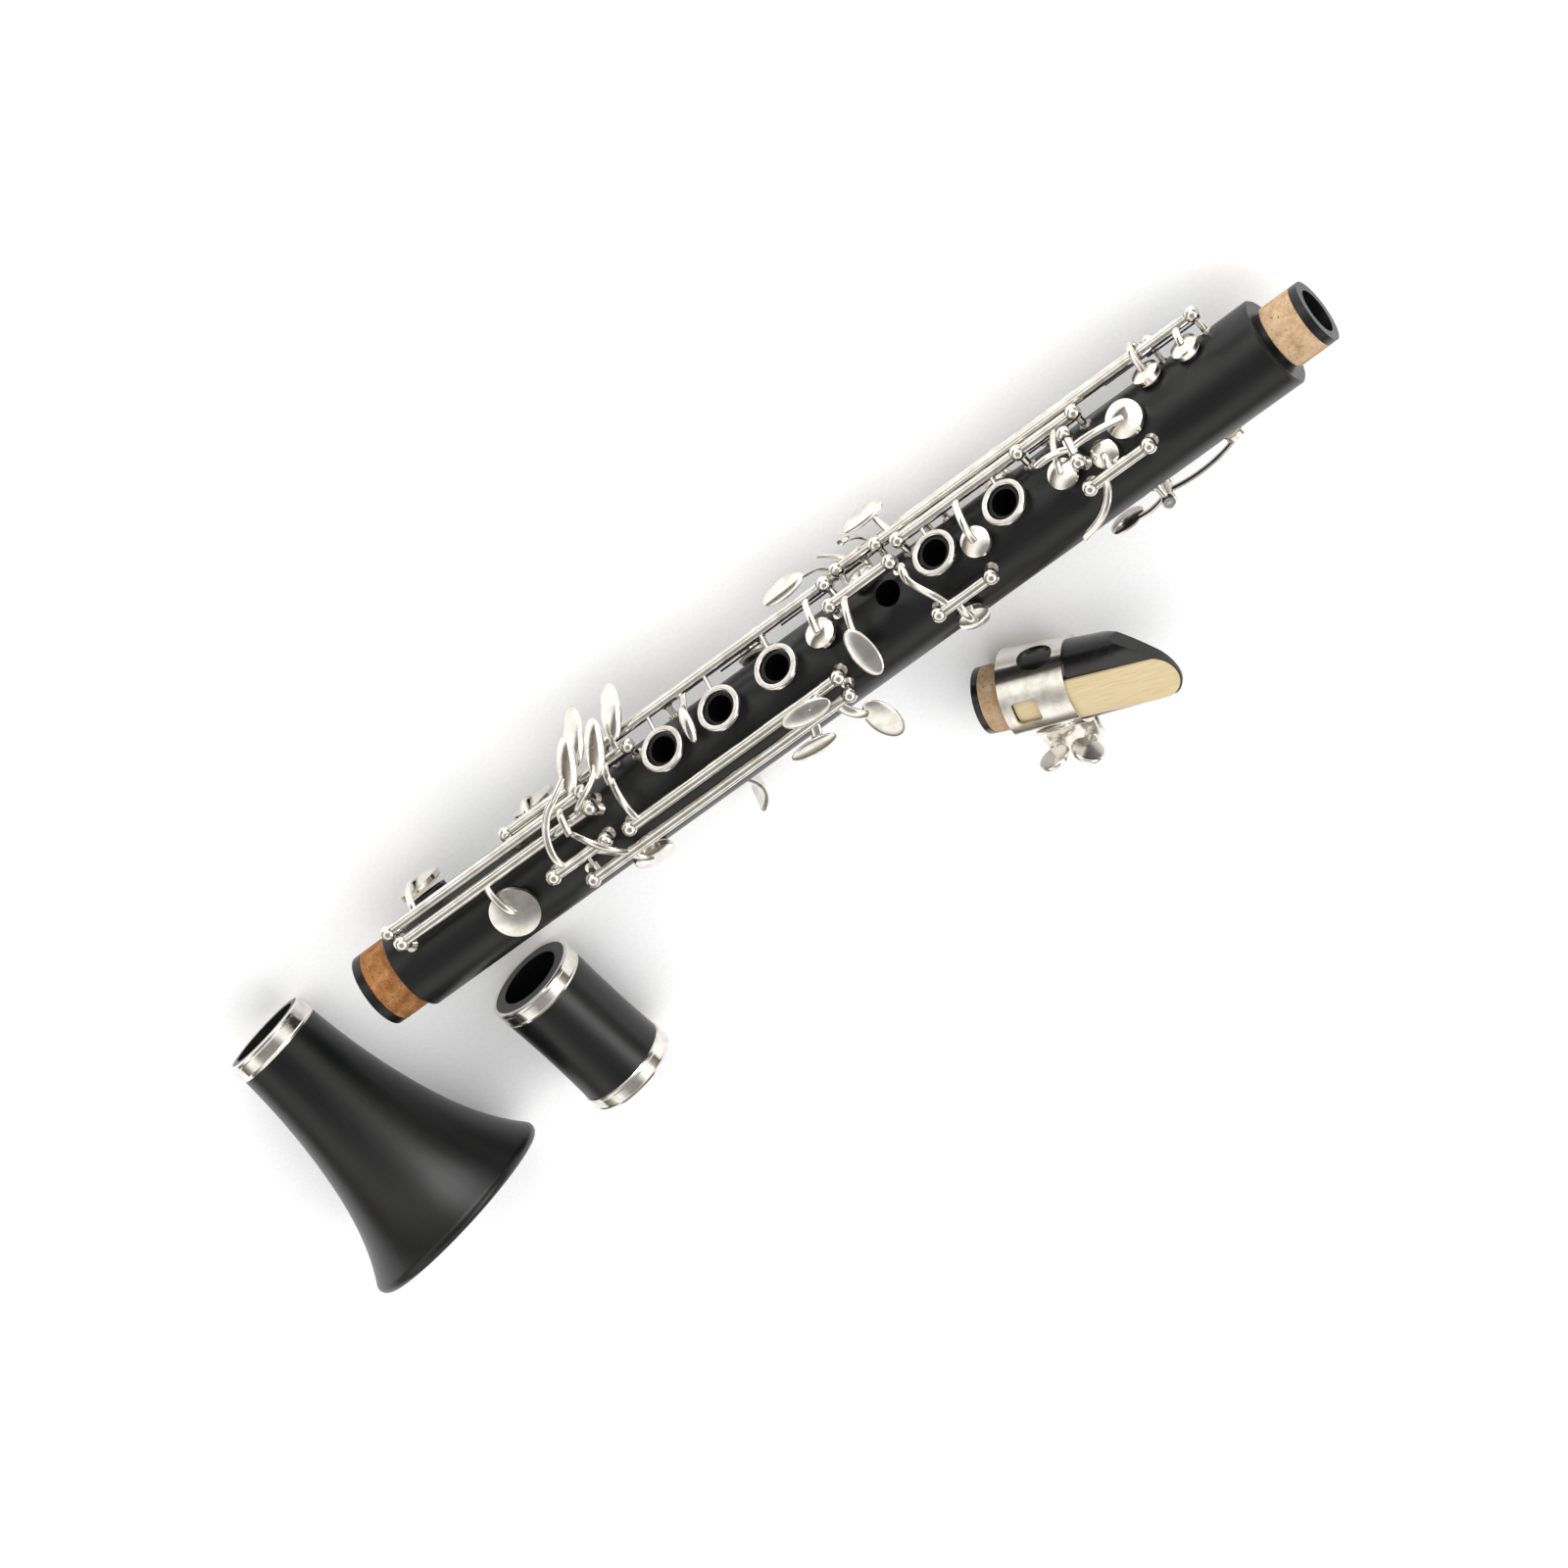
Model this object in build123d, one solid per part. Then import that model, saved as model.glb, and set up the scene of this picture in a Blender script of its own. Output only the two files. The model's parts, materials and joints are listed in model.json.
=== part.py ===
from build123d import *
import os
from dataclasses import dataclass
from math import atan2, cos, degrees, radians, sin, sqrt

# An E-flat clarinet laid out in four pieces on a table: body joint, barrel, bell and mouthpiece.
# +X runs along the body joint from its bell end to its barrel end and +Z is up.
# The body joint is modelled in its playing frame and then rolled onto its side:
# "along" is the distance from the bell end, "angle" is measured round the body from its front
# line towards the side keys, and "radius" is the distance from the bore's axis.

# ---------------------------------------------------------------- driving dimensions (mm, degrees)
BODY_LENGTH = 330.0
LOWER_SHOULDER = 12.0
UPPER_SHOULDER = 316.0
BODY_RADIUS_LOW = 12.8
BODY_RADIUS_HIGH = 13.3
BORE_RADIUS = 6.6
UPPER_TENON_RADIUS = 9.4
LOWER_TENON_RADIUS = 11.0
CORK_THICKNESS = 0.8
TENON_RIM = 2.6
TENON_GROOVE = 1.4

SEAT_RADIUS = 14.0
SEAT_WALL = 1.1
SEAT_INSET = 0.5
PAD_GAP = 0.03
PAD_HEIGHT = 1.7
CUP_WALL = 0.45
CUP_LIP = 1.0
CUP_HEIGHT = 3.0
CUP_TOP = SEAT_RADIUS + CUP_HEIGHT - 0.15

CHIMNEY_RADIUS = 4.5
CHIMNEY_TOP = 15.8
FINGER_HOLE = 3.8
RING_INNER = 4.95
RING_OUTER = 6.7
RING_THICKNESS = 1.5
RING_EDGE = 0.45

ROD_RADIUS = 0.9
ROD_BORE = 0.93
TUBE_RADIUS = 1.6
POST_BALL = 2.3
POST_HALF_WIDTH = 1.75
POST_STEM = 1.05
POST_COLLAR = 1.9
COLLAR_HALF_HEIGHT = 0.9
POST_DEPTH = 4.2
END_PLAY = 0.12
ARM_WIDTH = 2.2
ARM_THICKNESS = 1.3
TRILL_TOUCH = (14.0, 7.0, 2.0)
TRILL_TOUCH_TURN = 38.0
SPRING_RADIUS = 0.28
SPRING_LENGTH = 17.0
SPRING_DROP = 2.35

# Layout on the table.
BODY_ROLL = 52.0
BODY_HEIGHT = 23.0
BODY_START = (-120.0, 31.6)
BELL_START = (-157.4, 37.5)
BELL_HEADING = -81.5
BARREL_START = (-88.6, 3.9)
BARREL_HEADING = -87.1
MOUTHPIECE_START = (63.2, -10.0)
MOUTHPIECE_HEADING = -16.5
MOUTHPIECE_TILT = 14.0
MOUTHPIECE_ROLL = 6.0

# Barrel and bell.
BARREL_LENGTH = 41.7
BARREL_RING_RADIUS = 14.2
BARREL_RING_WIDTH = 5.0
BARREL_WAIST = 13.5
RING_WALL = 1.3
SOCKET_CLEARANCE = 0.05
UPPER_SOCKET_DEPTH = 14.2
BELL_LENGTH = 75.0
BELL_RING_RADIUS = 14.25
BELL_RING_WIDTH = 5.5
BELL_RIM_RADIUS = 31.5
BELL_SOCKET_DEPTH = 12.2

# Mouthpiece, reed and ligature.
MOUTHPIECE_LENGTH = 60.0
MOUTHPIECE_TENON = 8.4
MOUTHPIECE_RIM = 1.8
MOUTHPIECE_TENON_RADIUS = 9.4
MOUTHPIECE_RADIUS = 11.9
MOUTHPIECE_TAPER = 0.7
TABLE_HEIGHT = 8.2
TABLE_START = 11.5
BEAK_START = 29.5
TIP_THICKNESS = 1.0
TIP_HALF_WIDTH = 7.1
WINDOW_START = 25.5
WINDOW_END = 56.5
WINDOW_WIDTH = 7.6
WINDOW_DEPTH = 2.0
REED_WIDTH = 13.2
REED_START = 12.0
REED_LENGTH = 47.4
REED_HEEL = 15.0
REED_TIP = 0.25
LIGATURE_START = 9.0
LIGATURE_LENGTH = 19.5
LIGATURE_WALL = 0.9
LIGATURE_SCREWS = (14.6, 24.6)
LIGATURE_OVAL = (20.5, 80.0)
LIGATURE_WINDOW = (15.6, 8.0)
LUG_REACH = 20.2
LUG_GAP = 1.0
LUG_WALL = 1.2
SCREW_OFFSET = 18.2
SCREW_RADIUS = 1.1
SCREW_HOLE = 1.16
SCREW_HEAD = 4.8
SCREW_TOP = 8.6
SCREW_TURNS = (10.0, -36.0)


@dataclass
class Hinge:
    """A hinge line along the body: its angle and radius, and where its two posts stand."""

    angle: float
    radius: float
    low: float
    high: float


HINGES = {
    "low_outer": Hinge(4.0, 20.5, 19.0, 89.0),
    "low_inner": Hinge(-9.0, 19.5, 21.0, 88.5),
    "low_side": Hinge(22.0, 18.2, 62.0, 105.5),
    "low_front": Hinge(-38.0, 19.0, 68.5, 87.0),
    "left_inner": Hinge(-42.0, 19.0, 94.5, 168.0),
    "left_outer": Hinge(-60.0, 19.0, 76.5, 167.0),
    "lower_stack": Hinge(37.0, 20.0, 98.0, 177.0),
    "sliver": Hinge(58.0, 18.0, 118.0, 151.0),
    "c_sharp": Hinge(16.0, 18.0, 176.0, 197.0),
    "upper_stack": Hinge(30.0, 19.0, 201.5, 262.0),
    "cross": Hinge(-49.0, 18.5, 201.0, 219.0),
    "throat_g": Hinge(-37.0, 19.0, 256.0, 276.0),
    "trill_1": Hinge(46.0, 19.5, 194.5, 303.0),
    "trill_2": Hinge(58.0, 19.5, 180.0, 288.0),
    "trill_3": Hinge(70.0, 19.5, 187.0, 234.0),
    "trill_4": Hinge(82.0, 19.5, 173.0, 212.0),
    "thumb": Hinge(115.0, 17.5, 236.5, 250.5),
}
STACK_MIDDLE_POST = 243.0

# Levers that rock across the body: where the hinge stands, its angle and its radius.
THROAT_A_HINGE = (257.5, 0.0, 18.3)
REGISTER_HINGE = (265.0, -150.0, 18.3)
ROCKER_HALF_SPAN = 4.6
ROCKER_TUBE_HALF = 2.5

RING_HOLES_LOWER = (114.0, 134.0, 154.0)
RING_HOLES_UPPER = (209.0, 233.0)
PLAIN_HOLE = 191.0
THUMB_HOLE = 243.0
THUMB_TUBE_RADIUS = 4.2
THUMB_TUBE_BORE = 3.3
REGISTER_HOLE = 290.0
REGISTER_TUBE_RADIUS = 2.4
REGISTER_TUBE_BORE = 1.4
TUBE_STAND_OFF = 0.3

THUMB_REST_ANGLE = 186.0
THUMB_REST_PLATE = (105.0, 129.0)
THUMB_REST_WIDTH = 9.0
THUMB_REST_WALL = 1.3
THUMB_REST_SCREWS = (108.5, 125.5)
THUMB_REST_REACH = 33.0

# Where the outer left-hand hinge tube is split between its two levers.
LEFT_SPLIT_LOW = 88.0
LEFT_SPLIT_HIGH = 160.0

# Pad cups: place along the body, angle and cup radius.
CUPS = {
    "low_e": (29.0, 57.0, 7.0),
    "low_f": (70.0, 57.0, 7.0),
    "a_flat": (52.0, -46.0, 7.2),
    "f_sharp": (91.5, -95.0, 6.0),
    "lower_stack": (170.0, 0.0, 4.4),
    "sliver": (144.0, 84.0, 4.4),
    "c_sharp": (186.0, 36.0, 4.2),
    "cross": (206.0, -83.0, 4.5),
    "upper_stack": (221.0, -18.0, 4.3),
    "vent": (251.5, -14.0, 4.3),
    "throat_g": (264.0, -20.0, 4.0),
    "throat_a": (273.5, -3.0, 5.5),
    "trill_1": (297.0, 27.0, 4.2),
    "trill_2": (284.0, 30.0, 4.2),
    "trill_3": (228.0, 104.0, 4.5),
    "trill_4": (204.0, 114.0, 4.5),
    "register": (REGISTER_HOLE, -150.0, 3.2),
}

# How far the open-standing keys are lifted off their holes, turning about +X.
OPEN_ANGLES = {
    "low_e": 6.5,
    "low_f": 8.0,
    "lower_stack": -5.5,
    "upper_stack": -5.5,
    "vent": -5.5,
    "thumb": 5.5,
}


# ---------------------------------------------------------------- helpers
def spot(along, angle, radius):
    """The point at a distance along the body, an angle round it and a radius from its axis."""
    turn = radians(angle)
    return Vector(along, radius * sin(turn), radius * cos(turn))


def outward(angle):
    return spot(0, angle, 1)


def skin_plane(along, angle, radius):
    """A plane facing straight out from the body's axis, with its x direction along the body."""
    return Plane(origin=spot(along, angle, radius), x_dir=(1, 0, 0), z_dir=outward(angle))


def bar(start, end, radius):
    reach = Vector(*end) - Vector(*start)
    rod = Cylinder(radius, reach.length, align=(Align.CENTER, Align.CENTER, Align.MIN))
    return Plane(origin=start, z_dir=reach.normalized()) * rod


def arm(*points, width=ARM_WIDTH, thickness=ARM_THICKNESS):
    """A flattened bar swept through points, broad across the direction that faces outward."""
    path = Spline(*points) if len(points) > 2 else Line(*points)
    heading = path % 0
    radial = Vector(0, points[0].Y, points[0].Z).normalized()
    across = heading.cross(radial)
    if across.length < 0.3:
        across = Vector(1, 0, 0)
    start = Plane(origin=path @ 0, x_dir=across, z_dir=heading)
    return sweep(start * Ellipse(width / 2, thickness / 2), path=path)


def leaf(centre, size, facing=0.0, lean=0.0):
    """A smooth leaf-shaped touch: size is (along, across, thick) and facing turns it about +X."""
    shape = scale(Sphere(0.5), by=size)
    return Pos(*centre) * Rot(-facing, 0, 0) * Rot(0, 0, lean) * shape


def spin(face_points):
    """A solid of revolution about +Z from the (radius, height) corners of its section."""
    edges = Polyline(*face_points), Line(face_points[-1], face_points[0])
    return revolve(Plane.XZ * make_face(edges), axis=Axis.Z)


def along_x(shape):
    """Turn a solid of revolution from the +Z axis onto the +X axis."""
    return Rot(0, 90, 0) * shape


def one_piece(*shapes):
    return Part() + list(shapes)


def hinge_tube(hinge, low=None, high=None):
    """The hinge tube between two places along the hinge line, by default post to post."""
    low = hinge.low + POST_HALF_WIDTH + END_PLAY if low is None else low
    high = hinge.high - POST_HALF_WIDTH - END_PLAY if high is None else high
    return bar(spot(low, hinge.angle, hinge.radius), spot(high, hinge.angle, hinge.radius), TUBE_RADIUS)


def rod_hole(hinge):
    overrun = 4.0
    start = spot(hinge.low - overrun, hinge.angle, hinge.radius)
    end = spot(hinge.high + overrun, hinge.angle, hinge.radius)
    return bar(start, end, ROD_BORE)


def on_hinge(name, along):
    hinge = HINGES[name]
    return spot(along, hinge.angle, hinge.radius)


def stand_open(shape, hinge_name, key_name):
    """Swing a closed shape up to where the key's spring holds it."""
    hinge = HINGES[hinge_name]
    line = Axis(spot(0, hinge.angle, hinge.radius), (1, 0, 0))
    return shape.rotate(line, OPEN_ANGLES[key_name])


def cup(name):
    """A domed metal cup, closed on its tone hole."""
    along, angle, size = CUPS[name]
    inside = size - CUP_WALL
    lip = PAD_HEIGHT - CUP_LIP
    shoulder = PAD_HEIGHT + 0.45
    rise = CUP_HEIGHT - shoulder
    hollow = Polyline((0, CUP_HEIGHT), (0, PAD_HEIGHT), (inside, PAD_HEIGHT), (inside, lip))
    edge = Polyline((inside, lip), (size, lip), (size, shoulder))
    dome = ThreePointArc((size, shoulder), (size * 0.6, shoulder + rise * 0.74), (0, CUP_HEIGHT))
    shape = revolve(Plane.XZ * make_face([hollow, edge, dome]), axis=Axis.Z)
    return skin_plane(along, angle, SEAT_RADIUS + PAD_GAP) * shape


def cup_crown(name):
    along, angle, _ = CUPS[name]
    return spot(along, angle, CUP_TOP)


def pad(name):
    """The soft pad inside a cup, with a shallow ring worn into its face."""
    along, angle, size = CUPS[name]
    disc = Cylinder(size - CUP_WALL, PAD_HEIGHT, align=(Align.CENTER, Align.CENTER, Align.MIN))
    disc = fillet(disc.edges().sort_by(Axis.Z)[0], 0.3)
    return skin_plane(along, angle, SEAT_RADIUS + PAD_GAP) * disc


def ring(along, angle=0.0):
    """An open finger ring, pressed down level with its chimney."""
    height = CHIMNEY_TOP - RING_THICKNESS
    flat = Align.CENTER, Align.CENTER, Align.MIN
    band = Cylinder(RING_OUTER, RING_THICKNESS, align=flat) - Cylinder(RING_INNER, RING_THICKNESS, align=flat)
    band = fillet(band.edges().filter_by(GeomType.CIRCLE), RING_EDGE)
    return skin_plane(along, angle, height) * band


def ring_arm(hinge_name, along):
    """The short arm from the hinge tube to a finger ring."""
    edge = Vector(along, (RING_INNER + RING_OUTER) / 2, CHIMNEY_TOP - RING_THICKNESS / 2)
    return bar(on_hinge(hinge_name, along), edge, ARM_THICKNESS / 2)


# ---------------------------------------------------------------- posts, rods and springs
def post(along, angle, radius, across=False):
    """A ball-topped post with flat cheeks, its collar and the shank that screws into the wood."""
    ball = Sphere(POST_BALL)
    cheeks = Box(2 * POST_HALF_WIDTH, 3 * POST_BALL, 3 * POST_BALL)
    if across:
        cheeks = Box(3 * POST_BALL, 2 * POST_HALF_WIDTH, 3 * POST_BALL)
    head = skin_plane(along, angle, radius) * (ball & cheeks)
    foot = BODY_RADIUS_LOW - POST_DEPTH
    stem = bar(spot(along, angle, foot), spot(along, angle, radius - POST_HALF_WIDTH + 0.4), POST_STEM)
    collar_low = BODY_RADIUS_LOW - COLLAR_HALF_HEIGHT
    collar_high = BODY_RADIUS_LOW + COLLAR_HALF_HEIGHT
    collar = bar(spot(along, angle, collar_low), spot(along, angle, collar_high), POST_COLLAR)
    return one_piece(head, stem, collar)


def rocker_ends(hinge, half_span):
    """The two points at the ends of a hinge that lies across the body."""
    along, angle, radius = hinge
    middle = spot(along, angle, radius)
    sideways = outward(angle + 90)
    return middle - sideways * half_span, middle + sideways * half_span


def rocker_post(point):
    """A post for a crosswise hinge, standing straight out under the hinge's end."""
    angle = degrees(atan2(point.Y, point.Z))
    radius = sqrt(point.Y**2 + point.Z**2)
    return post(point.X, angle, radius, across=True)


def key_posts():
    posts = []
    for hinge in HINGES.values():
        wide_bore = rod_hole(hinge) if hinge is HINGES["left_outer"] else rod_of(hinge)
        for along in (hinge.low, hinge.high):
            posts.append(post(along, hinge.angle, hinge.radius) - wide_bore - spring_of(hinge))
    stack = HINGES["upper_stack"]
    posts.append(post(STACK_MIDDLE_POST, stack.angle, stack.radius) - rod_of(stack))
    for hinge in (THROAT_A_HINGE, REGISTER_HINGE):
        for point in rocker_ends(hinge, ROCKER_HALF_SPAN):
            posts.append(rocker_post(point) - rocker_rod(hinge))
    return posts


def rod_of(hinge):
    end_gap = POST_HALF_WIDTH + 0.05
    low = spot(hinge.low - end_gap, hinge.angle, hinge.radius)
    high = spot(hinge.high + end_gap, hinge.angle, hinge.radius)
    return bar(low, high, ROD_RADIUS)


def rocker_rod(hinge):
    start, end = rocker_ends(hinge, ROCKER_HALF_SPAN + POST_HALF_WIDTH)
    return bar(start, end, ROD_RADIUS)


def hinge_rods():
    rods = [rod_of(hinge) for hinge in HINGES.values() if hinge is not HINGES["left_outer"]]
    rods += [rocker_rod(THROAT_A_HINGE), rocker_rod(REGISTER_HINGE)]
    return rods


def spring_of(hinge):
    """The needle spring, anchored in the upper post and running back under the hinge tube."""
    radius = hinge.radius - SPRING_DROP
    reach = min(SPRING_LENGTH, 0.45 * (hinge.high - hinge.low))
    start = spot(hinge.high + POST_STEM, hinge.angle, radius)
    return bar(start, spot(hinge.high - reach, hinge.angle, radius), SPRING_RADIUS)


def needle_springs():
    return [spring_of(hinge) for hinge in HINGES.values()]


# ---------------------------------------------------------------- body joint
def body_blank():
    """The turned tube with its tenons, before any hole is bored through the wall."""
    upper_core = UPPER_TENON_RADIUS - CORK_THICKNESS
    lower_core = LOWER_TENON_RADIUS - CORK_THICKNESS
    edge = 0.6
    profile = [
        (0, 0),
        (LOWER_TENON_RADIUS, 0),
        (LOWER_TENON_RADIUS, TENON_RIM),
        (lower_core, TENON_RIM),
        (lower_core, LOWER_SHOULDER),
        (BODY_RADIUS_LOW - edge, LOWER_SHOULDER),
        (BODY_RADIUS_LOW, LOWER_SHOULDER + edge),
        (BODY_RADIUS_HIGH, UPPER_SHOULDER - edge),
        (BODY_RADIUS_HIGH - edge, UPPER_SHOULDER),
        (upper_core, UPPER_SHOULDER),
        (upper_core, BODY_LENGTH - TENON_RIM),
        (UPPER_TENON_RADIUS, BODY_LENGTH - TENON_RIM),
        (UPPER_TENON_RADIUS, BODY_LENGTH),
        (0, BODY_LENGTH),
    ]
    return along_x(spin(profile))


def tone_hole(along, angle, radius):
    return bar(spot(along, angle, 0), spot(along, angle, SEAT_RADIUS + 6), radius)


def pad_seat(name):
    """The raised seat that a pad closes on."""
    along, angle, size = CUPS[name]
    rim = size - CUP_WALL - SEAT_INSET
    return bar(spot(along, angle, BODY_RADIUS_LOW - 3), spot(along, angle, SEAT_RADIUS), rim)


def body(posts, fittings):
    blank = body_blank()
    seats = [pad_seat(name) for name in CUPS if name != "register"]
    chimneys = [
        bar(spot(along, 0, BODY_RADIUS_LOW - 3), spot(along, 0, CHIMNEY_TOP), CHIMNEY_RADIUS)
        for along in RING_HOLES_LOWER + RING_HOLES_UPPER
    ]
    finger_holes = RING_HOLES_LOWER + RING_HOLES_UPPER + (PLAIN_HOLE,)
    holes = [tone_hole(along, 0, FINGER_HOLE) for along in finger_holes]
    for name, (along, angle, size) in CUPS.items():
        if name != "register":
            holes.append(tone_hole(along, angle, size - CUP_WALL - SEAT_INSET - SEAT_WALL))
    bore = bar((-1, 0, 0), (BODY_LENGTH + 1, 0, 0), BORE_RADIUS)
    solid = one_piece(blank, *seats, *chimneys) - bore
    return solid - holes - posts - fittings


def cork_sleeve(radius, start, end):
    inner = radius - CORK_THICKNESS
    return along_x(spin([(inner, start), (radius, start), (radius, end), (inner, end)]))


def upper_cork():
    return cork_sleeve(UPPER_TENON_RADIUS, UPPER_SHOULDER + TENON_GROOVE, BODY_LENGTH - TENON_RIM)


def lower_cork():
    return cork_sleeve(LOWER_TENON_RADIUS, TENON_RIM, LOWER_SHOULDER)


def thumb_tube():
    low = spot(THUMB_HOLE, 180, BORE_RADIUS + TUBE_STAND_OFF)
    outer = bar(low, spot(THUMB_HOLE, 180, CHIMNEY_TOP), THUMB_TUBE_RADIUS)
    return outer - bar(spot(THUMB_HOLE, 180, 0), spot(THUMB_HOLE, 180, 20), THUMB_TUBE_BORE)


def register_tube():
    angle = CUPS["register"][1]
    low = spot(REGISTER_HOLE, angle, BORE_RADIUS + TUBE_STAND_OFF)
    outer = bar(low, spot(REGISTER_HOLE, angle, SEAT_RADIUS), REGISTER_TUBE_RADIUS)
    return outer - bar(spot(REGISTER_HOLE, angle, 0), spot(REGISTER_HOLE, angle, 20), REGISTER_TUBE_BORE)


def thumb_rest():
    """A curved base plate on the back of the body with a hooked rest for the right thumb."""
    start, end = THUMB_REST_PLATE
    shell_low = BODY_RADIUS_HIGH - 0.15
    shell = Cylinder(shell_low + THUMB_REST_WALL, end - start) - Cylinder(shell_low, end - start)
    plate = Pos((start + end) / 2, 0, 0) * Rot(0, 90, 0) * shell
    keep = Pos((start + end) / 2, 0, shell_low) * Box(end - start, THUMB_REST_WIDTH, 8)
    plate = plate & keep
    path = Spline((119, 0, shell_low + 0.5), (120.5, 0, 20), (119, 0, 27), (114, 0, THUMB_REST_REACH))
    base = Plane(origin=path @ 0, x_dir=(0, 1, 0), z_dir=path % 0)
    hook = sweep(base * RectangleRounded(THUMB_REST_WIDTH, 1.6, 0.5), path=path)
    web = Pos(117.3, 0, 17) * Rot(90, 0, 0) * Cylinder(2.6, 1.6)
    shape = Rot(-THUMB_REST_ANGLE, 0, 0) * one_piece(plate, hook, web)
    return shape - thumb_rest_screws()


def thumb_rest_screws():
    screws = []
    top = BODY_RADIUS_HIGH + THUMB_REST_WALL
    dome = Sphere(1.9) & (Pos(0, 0, 2) * Box(5, 5, 4))
    for along in THUMB_REST_SCREWS:
        shank = bar(spot(along, THUMB_REST_ANGLE, 9.5), spot(along, THUMB_REST_ANGLE, top), 1.0)
        head = skin_plane(along, THUMB_REST_ANGLE, top - 0.4) * dome
        slot = skin_plane(along, THUMB_REST_ANGLE, top + 1.5) * Box(5, 0.5, 0.9)
        screws.append(one_piece(shank, head) - slot)
    return screws


# ---------------------------------------------------------------- keys of the lower half
def low_e_key():
    hinge = HINGES["low_outer"]
    crown = cup_crown("low_e")
    cup_arm = arm(on_hinge("low_outer", 29), spot(29, 20, 20.4), spot(29, 39, 19.0), crown)
    raised = stand_open(one_piece(cup("low_e"), cup_arm), "low_outer", "low_e")
    bends = Vector(87, 5, 20.6), Vector(89.5, 12, 19.0), Vector(91.5, 16, 18.0)
    stalk = arm(on_hinge("low_outer", 85.5), *bends)
    paddle = leaf((92.6, 18.6, 17.5), (6.8, 19.0, 2.2), lean=-16, facing=8)
    tail = arm(on_hinge("low_outer", 81), Vector(81, -1, 22.2), Vector(81, -4.5, 22.5), Vector(81, -8, 22.2))
    return one_piece(hinge_tube(hinge), raised, stalk, paddle, tail) - rod_hole(hinge)


def low_f_key():
    hinge = HINGES["low_side"]
    cup_arm = arm(on_hinge("low_side", 70), spot(70, 34, 19.2), spot(70, 45, 18.6), cup_crown("low_f"))
    raised = stand_open(one_piece(cup("low_f"), cup_arm), "low_side", "low_f")
    stalk = arm(on_hinge("low_side", 102), Vector(103, 9.5, 19.2), Vector(105, 14, 19.9))
    paddle = leaf((106.5, 17.0, 19.5), (6.8, 18.0, 2.2), lean=-14, facing=8)
    tail = arm(on_hinge("low_side", 97.5), Vector(97.5, 4, 19.2), Vector(97.5, -1.6, 20.2))
    return one_piece(hinge_tube(hinge), raised, stalk, paddle, tail) - rod_hole(hinge)


def a_flat_key():
    hinge = HINGES["low_inner"]
    cup_arm = arm(on_hinge("low_inner", 51), spot(51, -22, 19.4), spot(51.5, -35, 18.6), cup_crown("a_flat"))
    bends = Vector(86.8, -3.0, 22.5), Vector(91, -1.2, 23.6), Vector(97, 4.5, 23.4)
    stalk = arm(on_hinge("low_inner", 85.3), *bends)
    paddle = leaf((98.9, 8.8, 23.0), (6.6, 17.5, 2.2), lean=-20)
    return one_piece(hinge_tube(hinge), cup("a_flat"), cup_arm, stalk, paddle) - rod_hole(hinge)


def f_sharp_key():
    hinge = HINGES["low_front"]
    under_lever = spot(87.5, -61, 16.2)
    inner_arm = arm(on_hinge("low_front", 82.5), spot(84.5, -49, 17.2), under_lever, thickness=1.1)
    outer_arm = arm(under_lever, spot(89.8, -76, 17.2), cup_crown("f_sharp"), thickness=1.1)
    bends = Vector(73.5, -9, 21.0), Vector(76.5, -3, 24.4), Vector(82, 2, 25.1)
    bridge = arm(on_hinge("low_front", 73), *bends)
    stalk = arm(Vector(81.5, 1.6, 25.1), Vector(85, 4, 25.1), Vector(88.5, 6.5, 24.8))
    paddle = leaf((90.2, 8.8, 24.6), (6.4, 16.5, 2.2), lean=-18)
    lug = bar(on_hinge("low_front", 80), Vector(80, -14.8, 12.9), 0.6)
    pieces = hinge_tube(hinge), cup("f_sharp"), inner_arm, outer_arm, bridge, stalk, paddle, lug
    return one_piece(*pieces) - rod_hole(hinge)


def lower_ring_key():
    hinge = HINGES["lower_stack"]
    rings = [ring(along) for along in RING_HOLES_LOWER]
    arms = [ring_arm("lower_stack", along) for along in RING_HOLES_LOWER]
    bends = spot(170, 25, 19.2), spot(170, 12, 18.1)
    cup_arm = arm(on_hinge("lower_stack", 170), *bends, cup_crown("lower_stack"))
    raised = stand_open(one_piece(cup("lower_stack"), cup_arm, *rings, *arms), "lower_stack", "lower_stack")
    return one_piece(hinge_tube(hinge), raised) - rod_hole(hinge)


def sliver_key():
    hinge = HINGES["sliver"]
    reach = arm(on_hinge("sliver", 124), spot(124, 44, 16.3), spot(124, 28, 16.1), spot(124, 8, 16.8))
    touch = leaf(spot(124, 4, 17.0), (3.6, 12.0, 1.7), facing=4)
    cup_arm = arm(on_hinge("sliver", 146), spot(145, 70, 18.4), cup_crown("sliver"))
    return one_piece(hinge_tube(hinge), reach, touch, cup_arm, cup("sliver")) - rod_hole(hinge)


def left_f_lever():
    hinge = HINGES["left_inner"]
    bends = Vector(98, -9.5, 17.9), Vector(97.6, -4.5, 18.8), Vector(97.5, 0.2, 18.6)
    reach = arm(on_hinge("left_inner", 98), *bends)
    touch = leaf((156, -17.0, 16.4), (15.0, 6.5, 2.0), facing=-46, lean=-8)
    neck = arm(on_hinge("left_inner", 160), Vector(159, -14.8, 16.0), Vector(157, -16.5, 16.6), width=3.0)
    return one_piece(hinge_tube(hinge), reach, touch, neck) - rod_hole(hinge)


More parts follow.
